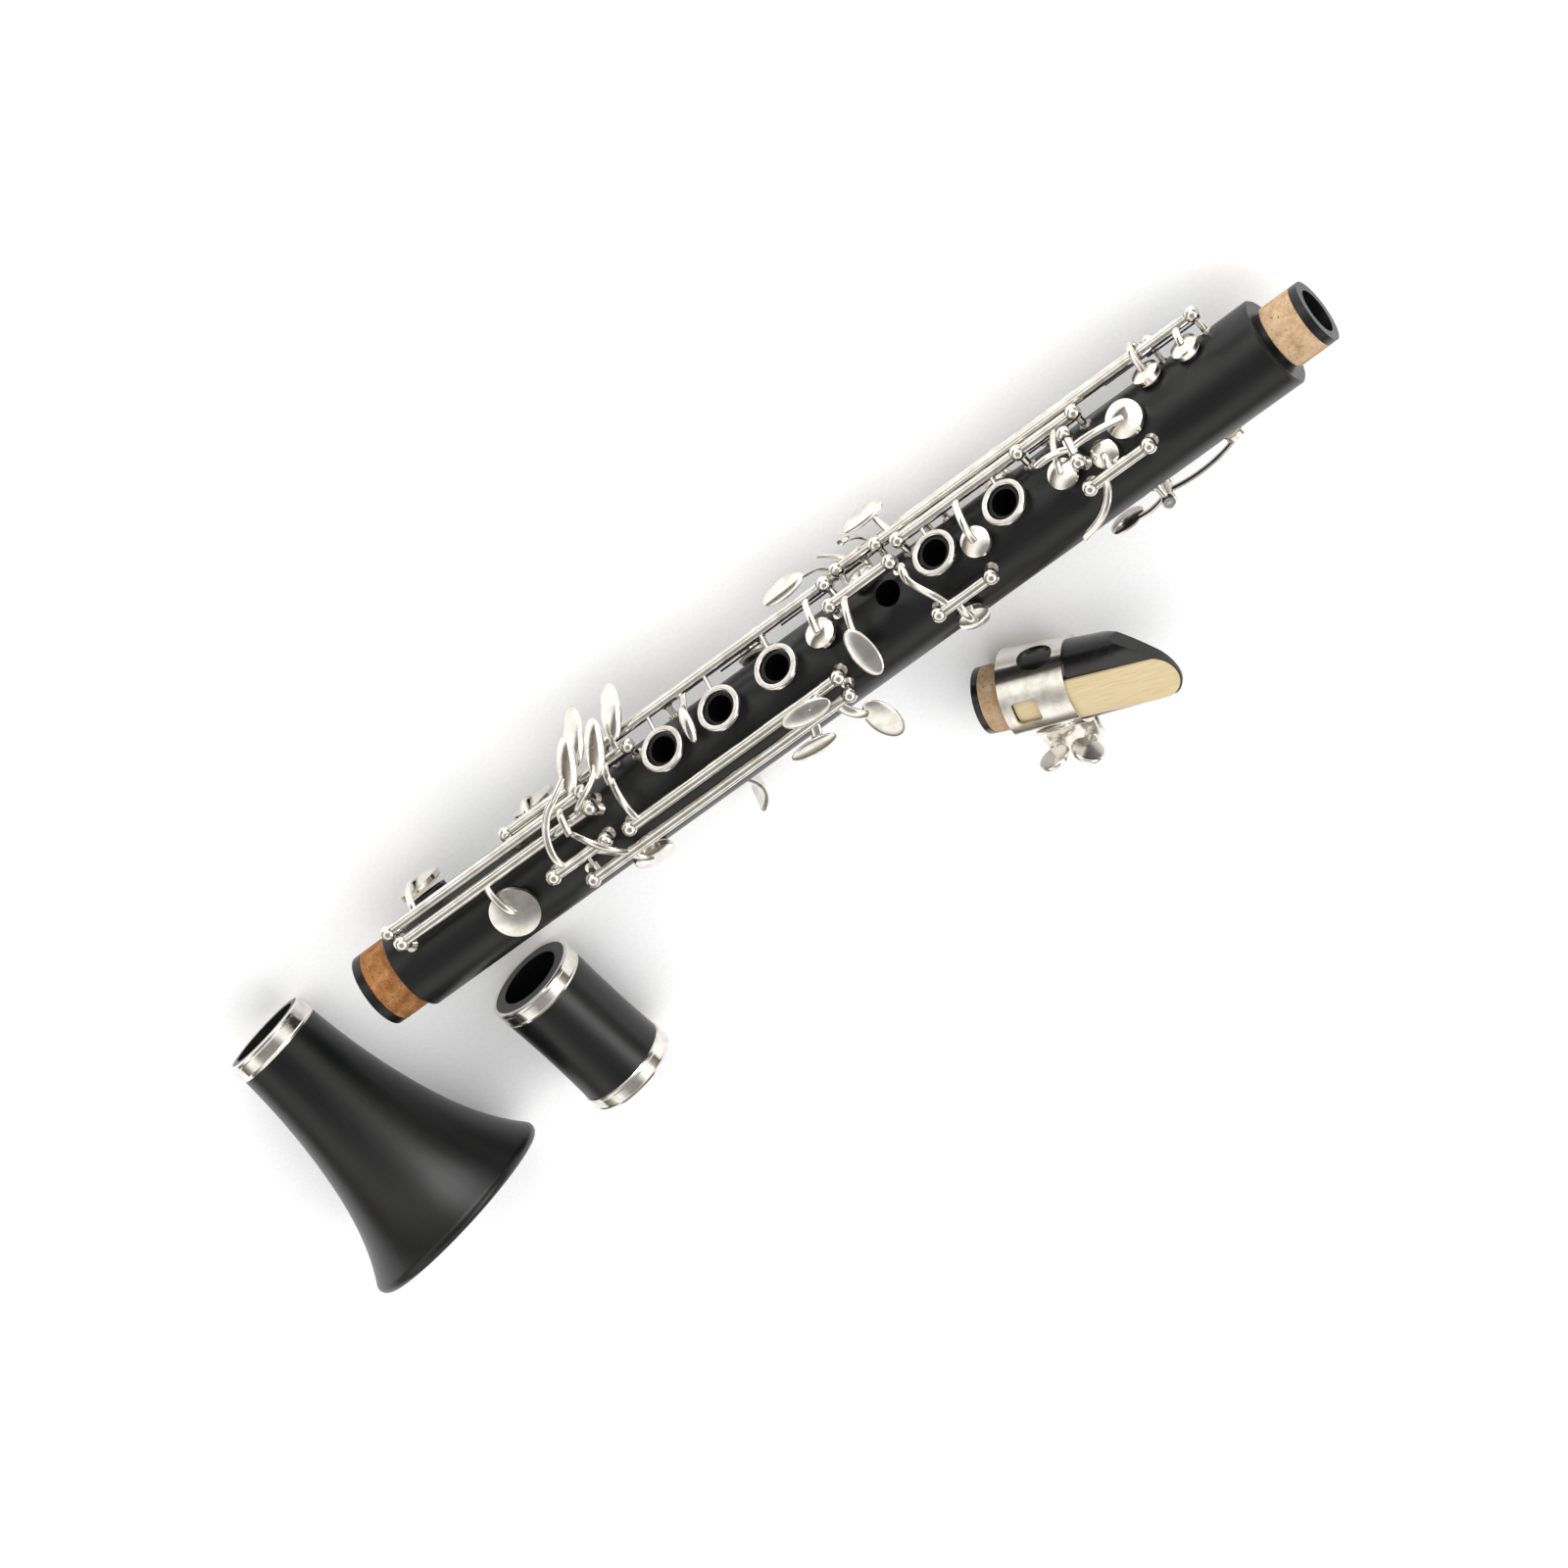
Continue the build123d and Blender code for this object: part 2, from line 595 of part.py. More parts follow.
def left_e_lever():
    hinge = HINGES["left_outer"]
    sleeve = hinge_tube(hinge, LEFT_SPLIT_LOW + END_PLAY, LEFT_SPLIT_HIGH - END_PLAY)
    low_bends = Vector(88.6, -16.5, 15.0), Vector(86, -14.2, 19.6)
    high_bends = Vector(83.5, -10.8, 20.8), Vector(81, -7.4, 20.3)
    reach = arm(on_hinge("left_outer", 90), *low_bends, *high_bends)
    touch = leaf((149.5, -20.8, 4.8), (14.0, 7.0, 2.0), facing=-78, lean=-8)
    neck = arm(on_hinge("left_outer", 154), Vector(153, -18.8, 7.4), Vector(151, -20.4, 5.4), width=3.0)
    return one_piece(sleeve, reach, touch, neck) - rod_hole(hinge)


def left_f_sharp_lever():
    """The long rod inside the other lever's tube, with a stub, lug and touch at its ends."""
    hinge = HINGES["left_outer"]
    lower_stub = hinge_tube(hinge, None, LEFT_SPLIT_LOW)
    upper_stub = hinge_tube(hinge, LEFT_SPLIT_HIGH, None)
    lug = bar(on_hinge("left_outer", 80), Vector(80, -13.4, 11.6), 0.6)
    touch = leaf((168.8, -22.8, -1.2), (8.5, 15.5, 2.0), facing=-63)
    neck = arm(on_hinge("left_outer", 162.5), Vector(164, -19.4, 7.8), Vector(166.5, -21.0, 3.0), width=3.2)
    return one_piece(lower_stub, upper_stub, rod_of(hinge), lug, touch, neck)


# ---------------------------------------------------------------- keys of the upper half
def c_sharp_key():
    hinge = HINGES["c_sharp"]
    cup_arm = arm(on_hinge("c_sharp", 186), spot(186, 25, 18.2), cup_crown("c_sharp"))
    bends = spot(180.5, 0, 19.4), spot(179.5, -16, 19.8), spot(178.8, -30, 19.8)
    reach = arm(on_hinge("c_sharp", 181), *bends)
    touch = leaf(spot(178.3, -37, 19.7), (7.4, 15.0, 2.0), facing=-37)
    return one_piece(hinge_tube(hinge), cup("c_sharp"), cup_arm, reach, touch) - rod_hole(hinge)


def cross_key():
    hinge = HINGES["cross"]
    cup_arm = arm(on_hinge("cross", 207), spot(206.5, -62, 18.7), cup_crown("cross"))
    bends = spot(204, -38, 18.9), spot(200.4, -18, 18.2), spot(199, 0, 17.2)
    reach = arm(on_hinge("cross", 204.6), *bends)
    tip = leaf(spot(199, -3, 17.3), (2.6, 7.0, 1.7), facing=-3)
    return one_piece(hinge_tube(hinge), cup("cross"), cup_arm, reach, tip) - rod_hole(hinge)


def upper_ring_key():
    hinge = HINGES["upper_stack"]
    rings = [ring(along) for along in RING_HOLES_UPPER]
    arms = [ring_arm("upper_stack", along) for along in RING_HOLES_UPPER]
    points = spot(221, 14, 18.4), spot(221, -3, 17.9)
    cup_arm = arm(on_hinge("upper_stack", 221), *points, cup_crown("upper_stack"))
    raised = stand_open(one_piece(cup("upper_stack"), cup_arm, *rings, *arms), "upper_stack", "upper_stack")
    sleeve = hinge_tube(hinge, None, STACK_MIDDLE_POST - POST_HALF_WIDTH - END_PLAY)
    return one_piece(sleeve, raised) - rod_hole(hinge)


def vent_key():
    hinge = HINGES["upper_stack"]
    points = spot(253.5, 15, 17.9), spot(252.3, 0, 17.4)
    cup_arm = arm(on_hinge("upper_stack", 255), *points, cup_crown("vent"))
    raised = stand_open(one_piece(cup("vent"), cup_arm), "upper_stack", "vent")
    sleeve = hinge_tube(hinge, STACK_MIDDLE_POST + POST_HALF_WIDTH + END_PLAY, None)
    return one_piece(sleeve, raised) - rod_hole(hinge)


def thumb_ring_key():
    hinge = HINGES["thumb"]
    points = spot(THUMB_HOLE, 130, 18.0), spot(THUMB_HOLE, 146, 17.3), spot(THUMB_HOLE, 159, 15.6)
    ring_link = arm(on_hinge("thumb", THUMB_HOLE), *points)
    link = arm(on_hinge("thumb", 246), spot(246.5, 100, 15.9), spot(247, 80, 15.5), spot(247.5, 62, 15.5))
    raised = stand_open(one_piece(ring(THUMB_HOLE, 180), ring_link, link), "thumb", "thumb")
    return one_piece(hinge_tube(hinge), raised) - rod_hole(hinge)


def rocker_tube(hinge):
    start, end = rocker_ends(hinge, ROCKER_TUBE_HALF)
    return bar(start, end, TUBE_RADIUS)


def rocker_hole(hinge):
    start, end = rocker_ends(hinge, ROCKER_HALF_SPAN + 4)
    return bar(start, end, ROD_BORE)


def throat_a_key():
    lift = cup_crown("throat_a"), spot(266, -2, 19.0), spot(*THROAT_A_HINGE)
    back = arm(*lift)
    front = arm(spot(*THROAT_A_HINGE), spot(253, 0, 21.2), spot(247, 0, 21.2))
    touch = leaf(spot(245, 0, 20.9), (12.0, 7.2, 2.0))
    pieces = rocker_tube(THROAT_A_HINGE), cup("throat_a"), back, front, touch
    return one_piece(*pieces) - rocker_hole(THROAT_A_HINGE)


def throat_g_key():
    hinge = HINGES["throat_g"]
    cup_arm = arm(on_hinge("throat_g", 264), spot(264, -28, 18.5), cup_crown("throat_g"))
    points = spot(258.5, -50, 21.4), spot(252.5, -60, 21.6), spot(246, -66, 20.6)
    reach = arm(on_hinge("throat_g", 261), *points)
    touch = leaf(spot(242.5, -67, 20.1), (18.0, 7.4, 2.0), facing=-67)
    return one_piece(hinge_tube(hinge), cup("throat_g"), cup_arm, reach, touch) - rod_hole(hinge)


def register_key():
    along, angle, radius = REGISTER_HINGE
    back = arm(cup_crown("register"), spot(278, angle, 19.4), spot(*REGISTER_HINGE))
    front = arm(spot(*REGISTER_HINGE), spot(258, angle - 2, 20.6), spot(252, angle - 7, 21.2))
    touch = leaf(spot(250, angle - 10, 21.0), (11.0, 7.0, 2.0), facing=angle - 10)
    pieces = rocker_tube(REGISTER_HINGE), cup("register"), back, front, touch
    return one_piece(*pieces) - rocker_hole(REGISTER_HINGE)


def trill_key(name, cup_bends, tube_spot, touch_bends, touch_at):
    """A side key: a long hinge tube with a pad cup near one end and a spoon-like touch at the other."""
    hinge = HINGES[name]
    along = CUPS[name][0]
    cup_arm = arm(on_hinge(name, along), *cup_bends, cup_crown(name))
    reach = arm(on_hinge(name, tube_spot), *touch_bends)
    touch = leaf(spot(*touch_at), TRILL_TOUCH, facing=touch_at[1] - TRILL_TOUCH_TURN)
    return one_piece(hinge_tube(hinge), cup(name), cup_arm, reach, touch) - rod_hole(hinge)


def trill_1():
    bends = spot(198.5, 52, 22.6), spot(197.5, 58, 26.0)
    return trill_key("trill_1", [spot(297, 37, 18.6)], 200, bends, (194.5, 60, 27.0))


def trill_2():
    over_tube = spot(284, 53, 22.2), spot(284, 42, 22.2), spot(284, 35, 19.4)
    bends = spot(181.5, 61, 22.8), spot(176.5, 65, 25.8)
    return trill_key("trill_2", over_tube, 185, bends, (171.5, 66, 26.5))


def trill_3():
    bends = spot(190, 66, 22.8), spot(188, 55, 24.6), spot(186, 49, 25.2)
    return trill_key("trill_3", [spot(228, 88, 18.8)], 191.5, bends, (182.5, 46.5, 25.1))


def trill_4():
    bends = spot(174.5, 76, 22.8), spot(171, 62, 23.4), spot(168.5, 54, 23.9)
    return trill_key("trill_4", [spot(204, 98, 18.8)], 177, bends, (165.5, 50, 24.2))


# ---------------------------------------------------------------- barrel and bell
def barrel():
    recess = BARREL_RING_RADIUS - RING_WALL
    socket = UPPER_TENON_RADIUS + SOCKET_CLEARANCE
    middle = BARREL_LENGTH / 2
    shoulder = BARREL_RING_RADIUS - 0.35
    far = BARREL_LENGTH - BARREL_RING_WIDTH
    lines = [
        Polyline((0, 0), (recess, 0), (recess, BARREL_RING_WIDTH), (shoulder, BARREL_RING_WIDTH)),
        ThreePointArc((shoulder, BARREL_RING_WIDTH), (BARREL_WAIST, middle), (shoulder, far)),
        Polyline((shoulder, far), (recess, far), (recess, BARREL_LENGTH), (0, BARREL_LENGTH), (0, 0)),
    ]
    blank = along_x(revolve(Plane.XZ * make_face(lines), axis=Axis.Z))
    bore = bar((-1, 0, 0), (BARREL_LENGTH + 1, 0, 0), BORE_RADIUS)
    near_socket = bar((-1, 0, 0), (UPPER_SOCKET_DEPTH, 0, 0), socket)
    far_socket = bar((BARREL_LENGTH - UPPER_SOCKET_DEPTH, 0, 0), (BARREL_LENGTH + 1, 0, 0), socket)
    return blank - bore - near_socket - far_socket


def metal_ring(radius, width, start):
    """A turned ring with a bead at each edge."""
    bead = 0.35
    inner = radius - RING_WALL
    profile = [
        (inner, start),
        (radius - bead, start),
        (radius, start + bead),
        (radius, start + 3 * bead),
        (radius - bead / 2, start + 4 * bead),
        (radius - bead / 2, start + width - 3 * bead),
        (radius, start + width - 2 * bead),
        (radius - bead, start + width),
        (inner, start + width),
    ]
    return along_x(spin(profile))


def barrel_rings():
    far = BARREL_LENGTH - BARREL_RING_WIDTH
    return [metal_ring(BARREL_RING_RADIUS, BARREL_RING_WIDTH, start) for start in (0, far)]


def bell():
    recess = BELL_RING_RADIUS - RING_WALL
    neck = BELL_RING_RADIUS - 0.4
    rim_start = BELL_LENGTH - 3.2
    rim_edge = BELL_RIM_RADIUS - 1.2
    rim_inside = BELL_RIM_RADIUS - 4.0
    flare = Spline(
        (neck, BELL_RING_WIDTH),
        (neck + 1.4, 0.30 * BELL_LENGTH),
        (neck + 4.3, 0.53 * BELL_LENGTH),
        (neck + 9.0, 0.75 * BELL_LENGTH),
        (BELL_RIM_RADIUS - 0.4, rim_start),
    )
    lip_start = BELL_RIM_RADIUS - 0.4, rim_start
    lip = ThreePointArc(lip_start, (BELL_RIM_RADIUS, rim_start + 1.6), (rim_edge, BELL_LENGTH))
    face = Line((rim_edge, BELL_LENGTH), (rim_inside, BELL_LENGTH))
    inner_start = BELL_SOCKET_DEPTH
    inside = Spline(
        (rim_inside, BELL_LENGTH),
        (neck + 5.4, 0.76 * BELL_LENGTH),
        (neck - 1.0, 0.48 * BELL_LENGTH),
        (BORE_RADIUS + 1.6, inner_start),
    )
    socket = LOWER_TENON_RADIUS + SOCKET_CLEARANCE
    mouth = Polyline(
        (BORE_RADIUS + 1.6, inner_start),
        (socket, inner_start),
        (socket, 0),
        (recess, 0),
        (recess, BELL_RING_WIDTH),
        (neck, BELL_RING_WIDTH),
    )
    outline = make_face([flare, lip, face, inside, mouth])
    return along_x(revolve(Plane.XZ * outline, axis=Axis.Z))


def bell_ring():
    return metal_ring(BELL_RING_RADIUS, BELL_RING_WIDTH, 0)


# ---------------------------------------------------------------- mouthpiece, reed and ligature
def mouthpiece_radius(along):
    """The outer radius of the mouthpiece between its shoulder and the beak."""
    return MOUTHPIECE_RADIUS - MOUTHPIECE_TAPER * (along - MOUTHPIECE_TENON) / (BEAK_START - MOUTHPIECE_TENON)


def tip_outline(length, half_width, start, spread):
    """The outline that a beak or a reed shows from above: bowed sides and a rounded tip."""
    side = length - half_width * 0.75
    back = half_width + spread
    middle = (start + side) / 2
    bowed = half_width + spread * 0.8
    heel = Line((start, -back), (start, back))
    left = ThreePointArc((start, back), (middle, bowed), (side, half_width))
    tip = ThreePointArc((side, half_width), (length, 0), (side, -half_width))
    right = ThreePointArc((side, -half_width), (middle, -bowed), (start, -back))
    return make_face([heel, left, tip, right])


def mouthpiece():
    core = MOUTHPIECE_TENON_RADIUS - CORK_THICKNESS
    tail = mouthpiece_radius(MOUTHPIECE_LENGTH)
    profile = [
        (0, 0),
        (MOUTHPIECE_TENON_RADIUS, 0),
        (MOUTHPIECE_TENON_RADIUS, MOUTHPIECE_RIM),
        (core, MOUTHPIECE_RIM),
        (core, MOUTHPIECE_TENON),
        (MOUTHPIECE_RADIUS - 0.5, MOUTHPIECE_TENON),
        (MOUTHPIECE_RADIUS, MOUTHPIECE_TENON + 0.5),
        (tail, MOUTHPIECE_LENGTH),
        (0, MOUTHPIECE_LENGTH),
    ]
    blank = along_x(spin(profile))
    above = Pos(TABLE_START + 30, 0, TABLE_HEIGHT + 10) * Box(60, 40, 20)
    drop = TABLE_HEIGHT - TIP_THICKNESS + mouthpiece_radius(BEAK_START)
    run = MOUTHPIECE_LENGTH - BEAK_START
    slope = degrees(atan2(drop, run))
    heel = Pos(BEAK_START, 0, -mouthpiece_radius(BEAK_START)) * Rot(0, -slope, 0)
    under = heel * Pos(40, 0, -15) * Box(100, 60, 30)
    outline = tip_outline(MOUTHPIECE_LENGTH, TIP_HALF_WIDTH, BEAK_START, 4.6)
    keep = Pos(0, 0, -20) * extrude(outline, 40) + Pos(BEAK_START / 2, 0, 0) * Box(BEAK_START, 40, 40)
    shape = (blank - above - under) & keep
    bore = bar((-1, 0, 0), (WINDOW_START + 1.5, 0, 0), BORE_RADIUS - 0.6)
    window_middle = (WINDOW_START + WINDOW_END) / 2
    window_size = WINDOW_END - WINDOW_START, WINDOW_WIDTH, 2 * WINDOW_DEPTH
    window = Pos(window_middle, 0, TABLE_HEIGHT) * Box(*window_size)
    chamber = Pos(WINDOW_START + 6, 0, TABLE_HEIGHT - 5) * Box(14, WINDOW_WIDTH, 11)
    return shape - bore - window - chamber


def mouthpiece_cork():
    return cork_sleeve(MOUTHPIECE_TENON_RADIUS, MOUTHPIECE_RIM, MOUTHPIECE_TENON)


def ligature_inner():
    """The inner radius of the ligature at its narrow end."""
    return mouthpiece_radius(LIGATURE_START + LIGATURE_LENGTH) + 0.05


def reed():
    """A cane reed lying on the table, bark side out at the heel and shaved thin at the tip."""
    top = ligature_inner() - 0.1
    outline = Pos(REED_START, 0, 0) * tip_outline(REED_LENGTH, REED_WIDTH / 2, 0, -0.3)
    slab = Pos(0, 0, TABLE_HEIGHT + 0.02) * extrude(outline, 6)
    bark = bar((0, 0, 0), (MOUTHPIECE_LENGTH + 5, 0, 0), top)
    vamp_start = REED_START + REED_HEEL
    rise = top - TABLE_HEIGHT - REED_TIP
    fall = degrees(atan2(rise, REED_LENGTH - REED_HEEL))
    above = Pos(vamp_start, 0, top) * Rot(0, fall, 0) * Pos(30, 0, 5) * Box(60, 30, 10)
    return (slab & bark) - above


def ligature():
    """A sheet-metal band with two windows, split on one side between two screw lugs."""
    start = LIGATURE_START
    end = LIGATURE_START + LIGATURE_LENGTH
    wide = mouthpiece_radius(start) + 0.05
    narrow = ligature_inner()
    wall = LIGATURE_WALL
    band = along_x(spin([(wide, start), (wide + wall, start), (narrow + wall, end), (narrow, end)]))
    oval = Pos(0, 0, 12) * extrude(Ellipse(5.2, 4.3), 6, both=True)
    oval_along, oval_angle = LIGATURE_OVAL
    hole = Pos(oval_along, 0, 0) * Rot(-oval_angle, 0, 0) * oval
    square = Pos(0, 0, 12) * extrude(RectangleRounded(7.5, 7.0, 1.5), 6, both=True)
    window_along, window_angle = LIGATURE_WINDOW
    window = Pos(window_along, 0, 0) * Rot(-window_angle, 0, 0) * square
    middle = (start + end) / 2
    split = Pos(middle, -wide, 0) * Box(LIGATURE_LENGTH + 4, 8, 2 * LUG_GAP)
    inner_corners = (start + 1, -narrow), (end - 1, -narrow)
    outer_corners = (end - 1.5, -LUG_REACH), (start + 2.5, -LUG_REACH)
    lug = extrude(make_face(Polyline(*inner_corners, *outer_corners, close=True)), LUG_WALL)
    lugs = Pos(0, 0, LUG_GAP) * lug, Pos(0, 0, -LUG_GAP - LUG_WALL) * lug
    inside = along_x(spin([(0, start - 1), (wide, start - 1), (wide, start), (narrow, end), (0, end)]))
    solid = one_piece(band - split, *lugs) - inside - hole - window
    for along in LIGATURE_SCREWS:
        solid -= bar((along, -SCREW_OFFSET, -10), (along, -SCREW_OFFSET, 10), SCREW_HOLE)
    return solid


def ligature_screw(along, turned):
    """A thumbscrew: its shank, collar and flat round thumb piece."""
    shank_top = SCREW_TOP - SCREW_HEAD + 1.4
    shank = bar((along, -SCREW_OFFSET, -6.0), (along, -SCREW_OFFSET, shank_top), SCREW_RADIUS)
    collar_low = LUG_GAP + LUG_WALL + 0.08
    collar = bar((along, -SCREW_OFFSET, collar_low), (along, -SCREW_OFFSET, collar_low + 1.8), 2.0)
    disc = Rot(90, 0, 0) * Cylinder(SCREW_HEAD, 1.6)
    disc = fillet(disc.edges(), 0.6)
    head = Pos(along, -SCREW_OFFSET, SCREW_TOP) * Rot(0, 0, turned) * disc
    return one_piece(shank, collar, head)


# ---------------------------------------------------------------- placing everything on the table
def body_place():
    return Pos(*BODY_START, BODY_HEIGHT) * Rot(-BODY_ROLL, 0, 0)


def bell_place():
    tilt = degrees(atan2(BELL_RIM_RADIUS - BELL_RING_RADIUS, BELL_LENGTH))
    height = BELL_RING_RADIUS * cos(radians(tilt))
    return Pos(*BELL_START, height) * Rot(0, 0, BELL_HEADING) * Rot(0, -tilt, 0)


def barrel_place():
    return Pos(*BARREL_START, BARREL_RING_RADIUS) * Rot(0, 0, BARREL_HEADING)


def mouthpiece_place():
    """The mouthpiece rests on the back edge of its ligature, with its tip raised."""
    tilt = radians(MOUTHPIECE_TILT)
    edge_radius = mouthpiece_radius(LIGATURE_START) + LIGATURE_WALL + 0.1
    height = edge_radius * cos(tilt) - LIGATURE_START * sin(tilt)
    turned = Rot(0, 0, MOUTHPIECE_HEADING) * Rot(0, -MOUTHPIECE_TILT, 0) * Rot(MOUTHPIECE_ROLL, 0, 0)
    return Pos(*MOUTHPIECE_START, height) * turned


KEYS = {
    "low_e_key": (low_e_key, "low_e", "low_outer"),
    "low_f_key": (low_f_key, "low_f", "low_side"),
    "a_flat_key": (a_flat_key, "a_flat", "low_inner"),
    "f_sharp_key": (f_sharp_key, "f_sharp", "low_front"),
    "lower_ring_key": (lower_ring_key, "lower_stack", "lower_stack"),
    "sliver_key": (sliver_key, "sliver", "sliver"),
    "c_sharp_key": (c_sharp_key, "c_sharp", "c_sharp"),
    "cross_key": (cross_key, "cross", "cross"),
    "upper_ring_key": (upper_ring_key, "upper_stack", "upper_stack"),
    "vent_key": (vent_key, "vent", "upper_stack"),
    "throat_a_key": (throat_a_key, "throat_a", None),
    "throat_g_key": (throat_g_key, "throat_g", "throat_g"),
    "register_key": (register_key, "register", None),
    "trill_key_1": (trill_1, "trill_1", "trill_1"),
    "trill_key_2": (trill_2, "trill_2", "trill_2"),
    "trill_key_3": (trill_3, "trill_3", "trill_3"),
    "trill_key_4": (trill_4, "trill_4", "trill_4"),
}


def key_nodes():
    nodes = {}
    for name, (make_key, cup_name, hinge_name) in KEYS.items():
        soft = pad(cup_name)
        if cup_name in OPEN_ANGLES:
            soft = stand_open(soft, hinge_name, cup_name)
        nodes[name] = make_key()
        nodes[name.replace("key", "pad")] = soft
    nodes["thumb_ring_key"] = thumb_ring_key()
    nodes["left_f_lever"] = left_f_lever()
    nodes["left_e_lever"] = left_e_lever()
    nodes["left_f_sharp_lever"] = left_f_sharp_lever()
    return nodes


def body_nodes():
    posts = key_posts()
    tubes = [thumb_tube(), register_tube()]
    fittings = [*tubes, *thumb_rest_screws()]
    nodes = {
        "body_joint": body(posts, fittings),
        "upper_tenon_cork": upper_cork(),
        "lower_tenon_cork": lower_cork(),
        "key_posts": Compound(posts),
        "hinge_rods": Compound(hinge_rods()),
        "needle_springs": Compound(needle_springs()),
        "thumb_hole_tube": tubes[0],
        "register_tube": tubes[1],
        "thumb_rest": thumb_rest(),
        "thumb_rest_screws": Compound(thumb_rest_screws()),
    }
    nodes.update(key_nodes())
    return nodes


def mouthpiece_nodes():
    screws = [ligature_screw(along, turned) for along, turned in zip(LIGATURE_SCREWS, SCREW_TURNS)]
    return {
        "mouthpiece": mouthpiece(),
        "mouthpiece_cork": mouthpiece_cork(),
        "reed": reed(),
        "ligature": ligature(),
        "ligature_screw_1": screws[0],
        "ligature_screw_2": screws[1],
    }


def placed_nodes():
    """Every node in the table frame, before the frame is centred under the whole layout."""
    nodes = {}
    groups = (
        (body_place(), body_nodes()),
        (barrel_place(), {"barrel": barrel(), "barrel_rings": Compound(barrel_rings())}),
        (bell_place(), {"bell": bell(), "bell_ring": bell_ring()}),
        (mouthpiece_place(), mouthpiece_nodes()),
    )
    for place, group in groups:
        for name, shape in group.items():
            nodes[name] = place * shape
    return nodes


def centring_shift(nodes):
    """The shift that puts the origin at the bottom centre of the whole layout's box."""
    boxes = [shape.bounding_box() for shape in nodes.values()]
    middle_x = (min(box.min.X for box in boxes) + max(box.max.X for box in boxes)) / 2
    middle_y = (min(box.min.Y for box in boxes) + max(box.max.Y for box in boxes)) / 2
    return Pos(-middle_x, -middle_y, -min(box.min.Z for box in boxes))


NODES = placed_nodes()
SHIFT = centring_shift(NODES)
os.makedirs("parts", exist_ok=True)
for node_name, node_shape in NODES.items():
    export_step(SHIFT * node_shape, f"parts/{node_name}.step")
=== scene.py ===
"""Looks for a small clarinet laid out apart on a table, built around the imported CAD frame."""

import json
import math

import bmesh
import bpy
import numpy as np
from mathutils import Matrix, Vector, noise


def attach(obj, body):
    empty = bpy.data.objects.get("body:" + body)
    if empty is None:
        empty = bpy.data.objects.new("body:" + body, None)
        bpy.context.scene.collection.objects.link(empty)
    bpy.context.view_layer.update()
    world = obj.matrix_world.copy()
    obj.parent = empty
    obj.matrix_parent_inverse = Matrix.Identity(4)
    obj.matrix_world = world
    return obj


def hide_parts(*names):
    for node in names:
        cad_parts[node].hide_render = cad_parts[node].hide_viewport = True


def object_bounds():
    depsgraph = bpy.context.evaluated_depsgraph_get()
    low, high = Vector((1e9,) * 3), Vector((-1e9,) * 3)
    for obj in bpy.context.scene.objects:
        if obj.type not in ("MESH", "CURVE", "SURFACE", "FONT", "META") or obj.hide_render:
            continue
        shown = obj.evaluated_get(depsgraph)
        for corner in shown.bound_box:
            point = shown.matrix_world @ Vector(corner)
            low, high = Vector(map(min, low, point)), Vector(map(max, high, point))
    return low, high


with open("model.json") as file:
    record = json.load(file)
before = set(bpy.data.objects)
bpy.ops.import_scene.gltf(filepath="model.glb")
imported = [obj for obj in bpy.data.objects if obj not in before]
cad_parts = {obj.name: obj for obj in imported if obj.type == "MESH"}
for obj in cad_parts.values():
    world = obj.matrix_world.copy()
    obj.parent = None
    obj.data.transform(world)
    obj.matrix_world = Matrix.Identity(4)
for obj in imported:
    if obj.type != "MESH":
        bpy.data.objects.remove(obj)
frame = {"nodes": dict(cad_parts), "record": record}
CAD_BOX = [list(corner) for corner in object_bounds()]

# ---------------------------------------------------------------- sizes and places (metres)
MM = 0.001
NODES = frame["nodes"]
MOUNTS = {mount["name"]: mount for mount in frame["record"]["mounts"]}
JOINTS = {joint["name"]: joint for joint in frame["record"]["behaviour"]["joints"]}
BODY_OF_NODE = {
    node: body for body, nodes in frame["record"]["behaviour"]["bodies"].items() for node in nodes
}
LOW = Vector(CAD_BOX[0])
HIGH = Vector(CAD_BOX[1])
CENTRE = (LOW + HIGH) / 2
SPAN = HIGH.x - LOW.x

VIEW_WIDTH = 1.117 * SPAN
CAMERA_DISTANCE = 2.4
AIM = Vector((-0.041 * SPAN, -0.0245 * SPAN, LOW.z))
TO_CAMERA = Vector((0.3194, 0.3847, 0.866)).normalized()
IMAGE_RIGHT = Vector((0.7694, -0.6388, 0)).normalized()
IMAGE_UP = TO_CAMERA.cross(IMAGE_RIGHT)

ROOM_STRENGTH = 1.35
KEY_POWER = 12.0
FILL_POWER = 6.0
FLOOR_REACH = 6.0

PAD_SEGMENTS = 64
PAD_SEAT_INSET = 0.9 * MM
PAD_ROLL = 0.35 * MM
PAD_ROLL_STEPS = 4
PAD_CROWN = 0.02 * MM
# The ring that a seat presses into a pad: (distance out from the seat, dent), in millimetres.
PAD_SEAT_RING = ((-0.5, 0.01), (-0.2, 0.10), (0.15, 0.11), (0.4, 0.01))

CORK_SEGMENTS = 160
CORK_ROWS = 36
CORK_THICKNESS = 0.8 * MM
CORK_EDGE = 0.22 * MM
CORK_PIT_SIZE = 1.3 * MM
CORK_PIT_DEPTH = 0.09 * MM

REED_COLUMNS = 120
REED_ACROSS = 40
REED_HEEL_SHARE = 0.33
REED_HEEL_WIDTH = 0.955
REED_WIDENING = 0.045
REED_STRAIGHT_SHARE = 0.7
REED_TIP_THICKNESS = 0.22 * MM
REED_TIP_DEPTH = 0.75
REED_CUT_CURVE = 2.6 * MM
REED_CUT_STEP = 0.15 * MM
REED_CROWN = 0.35 * MM
REED_FALL_POWER = 0.86
REED_FALL_AT_SIDES = 0.09
REED_CREASE = math.radians(40)


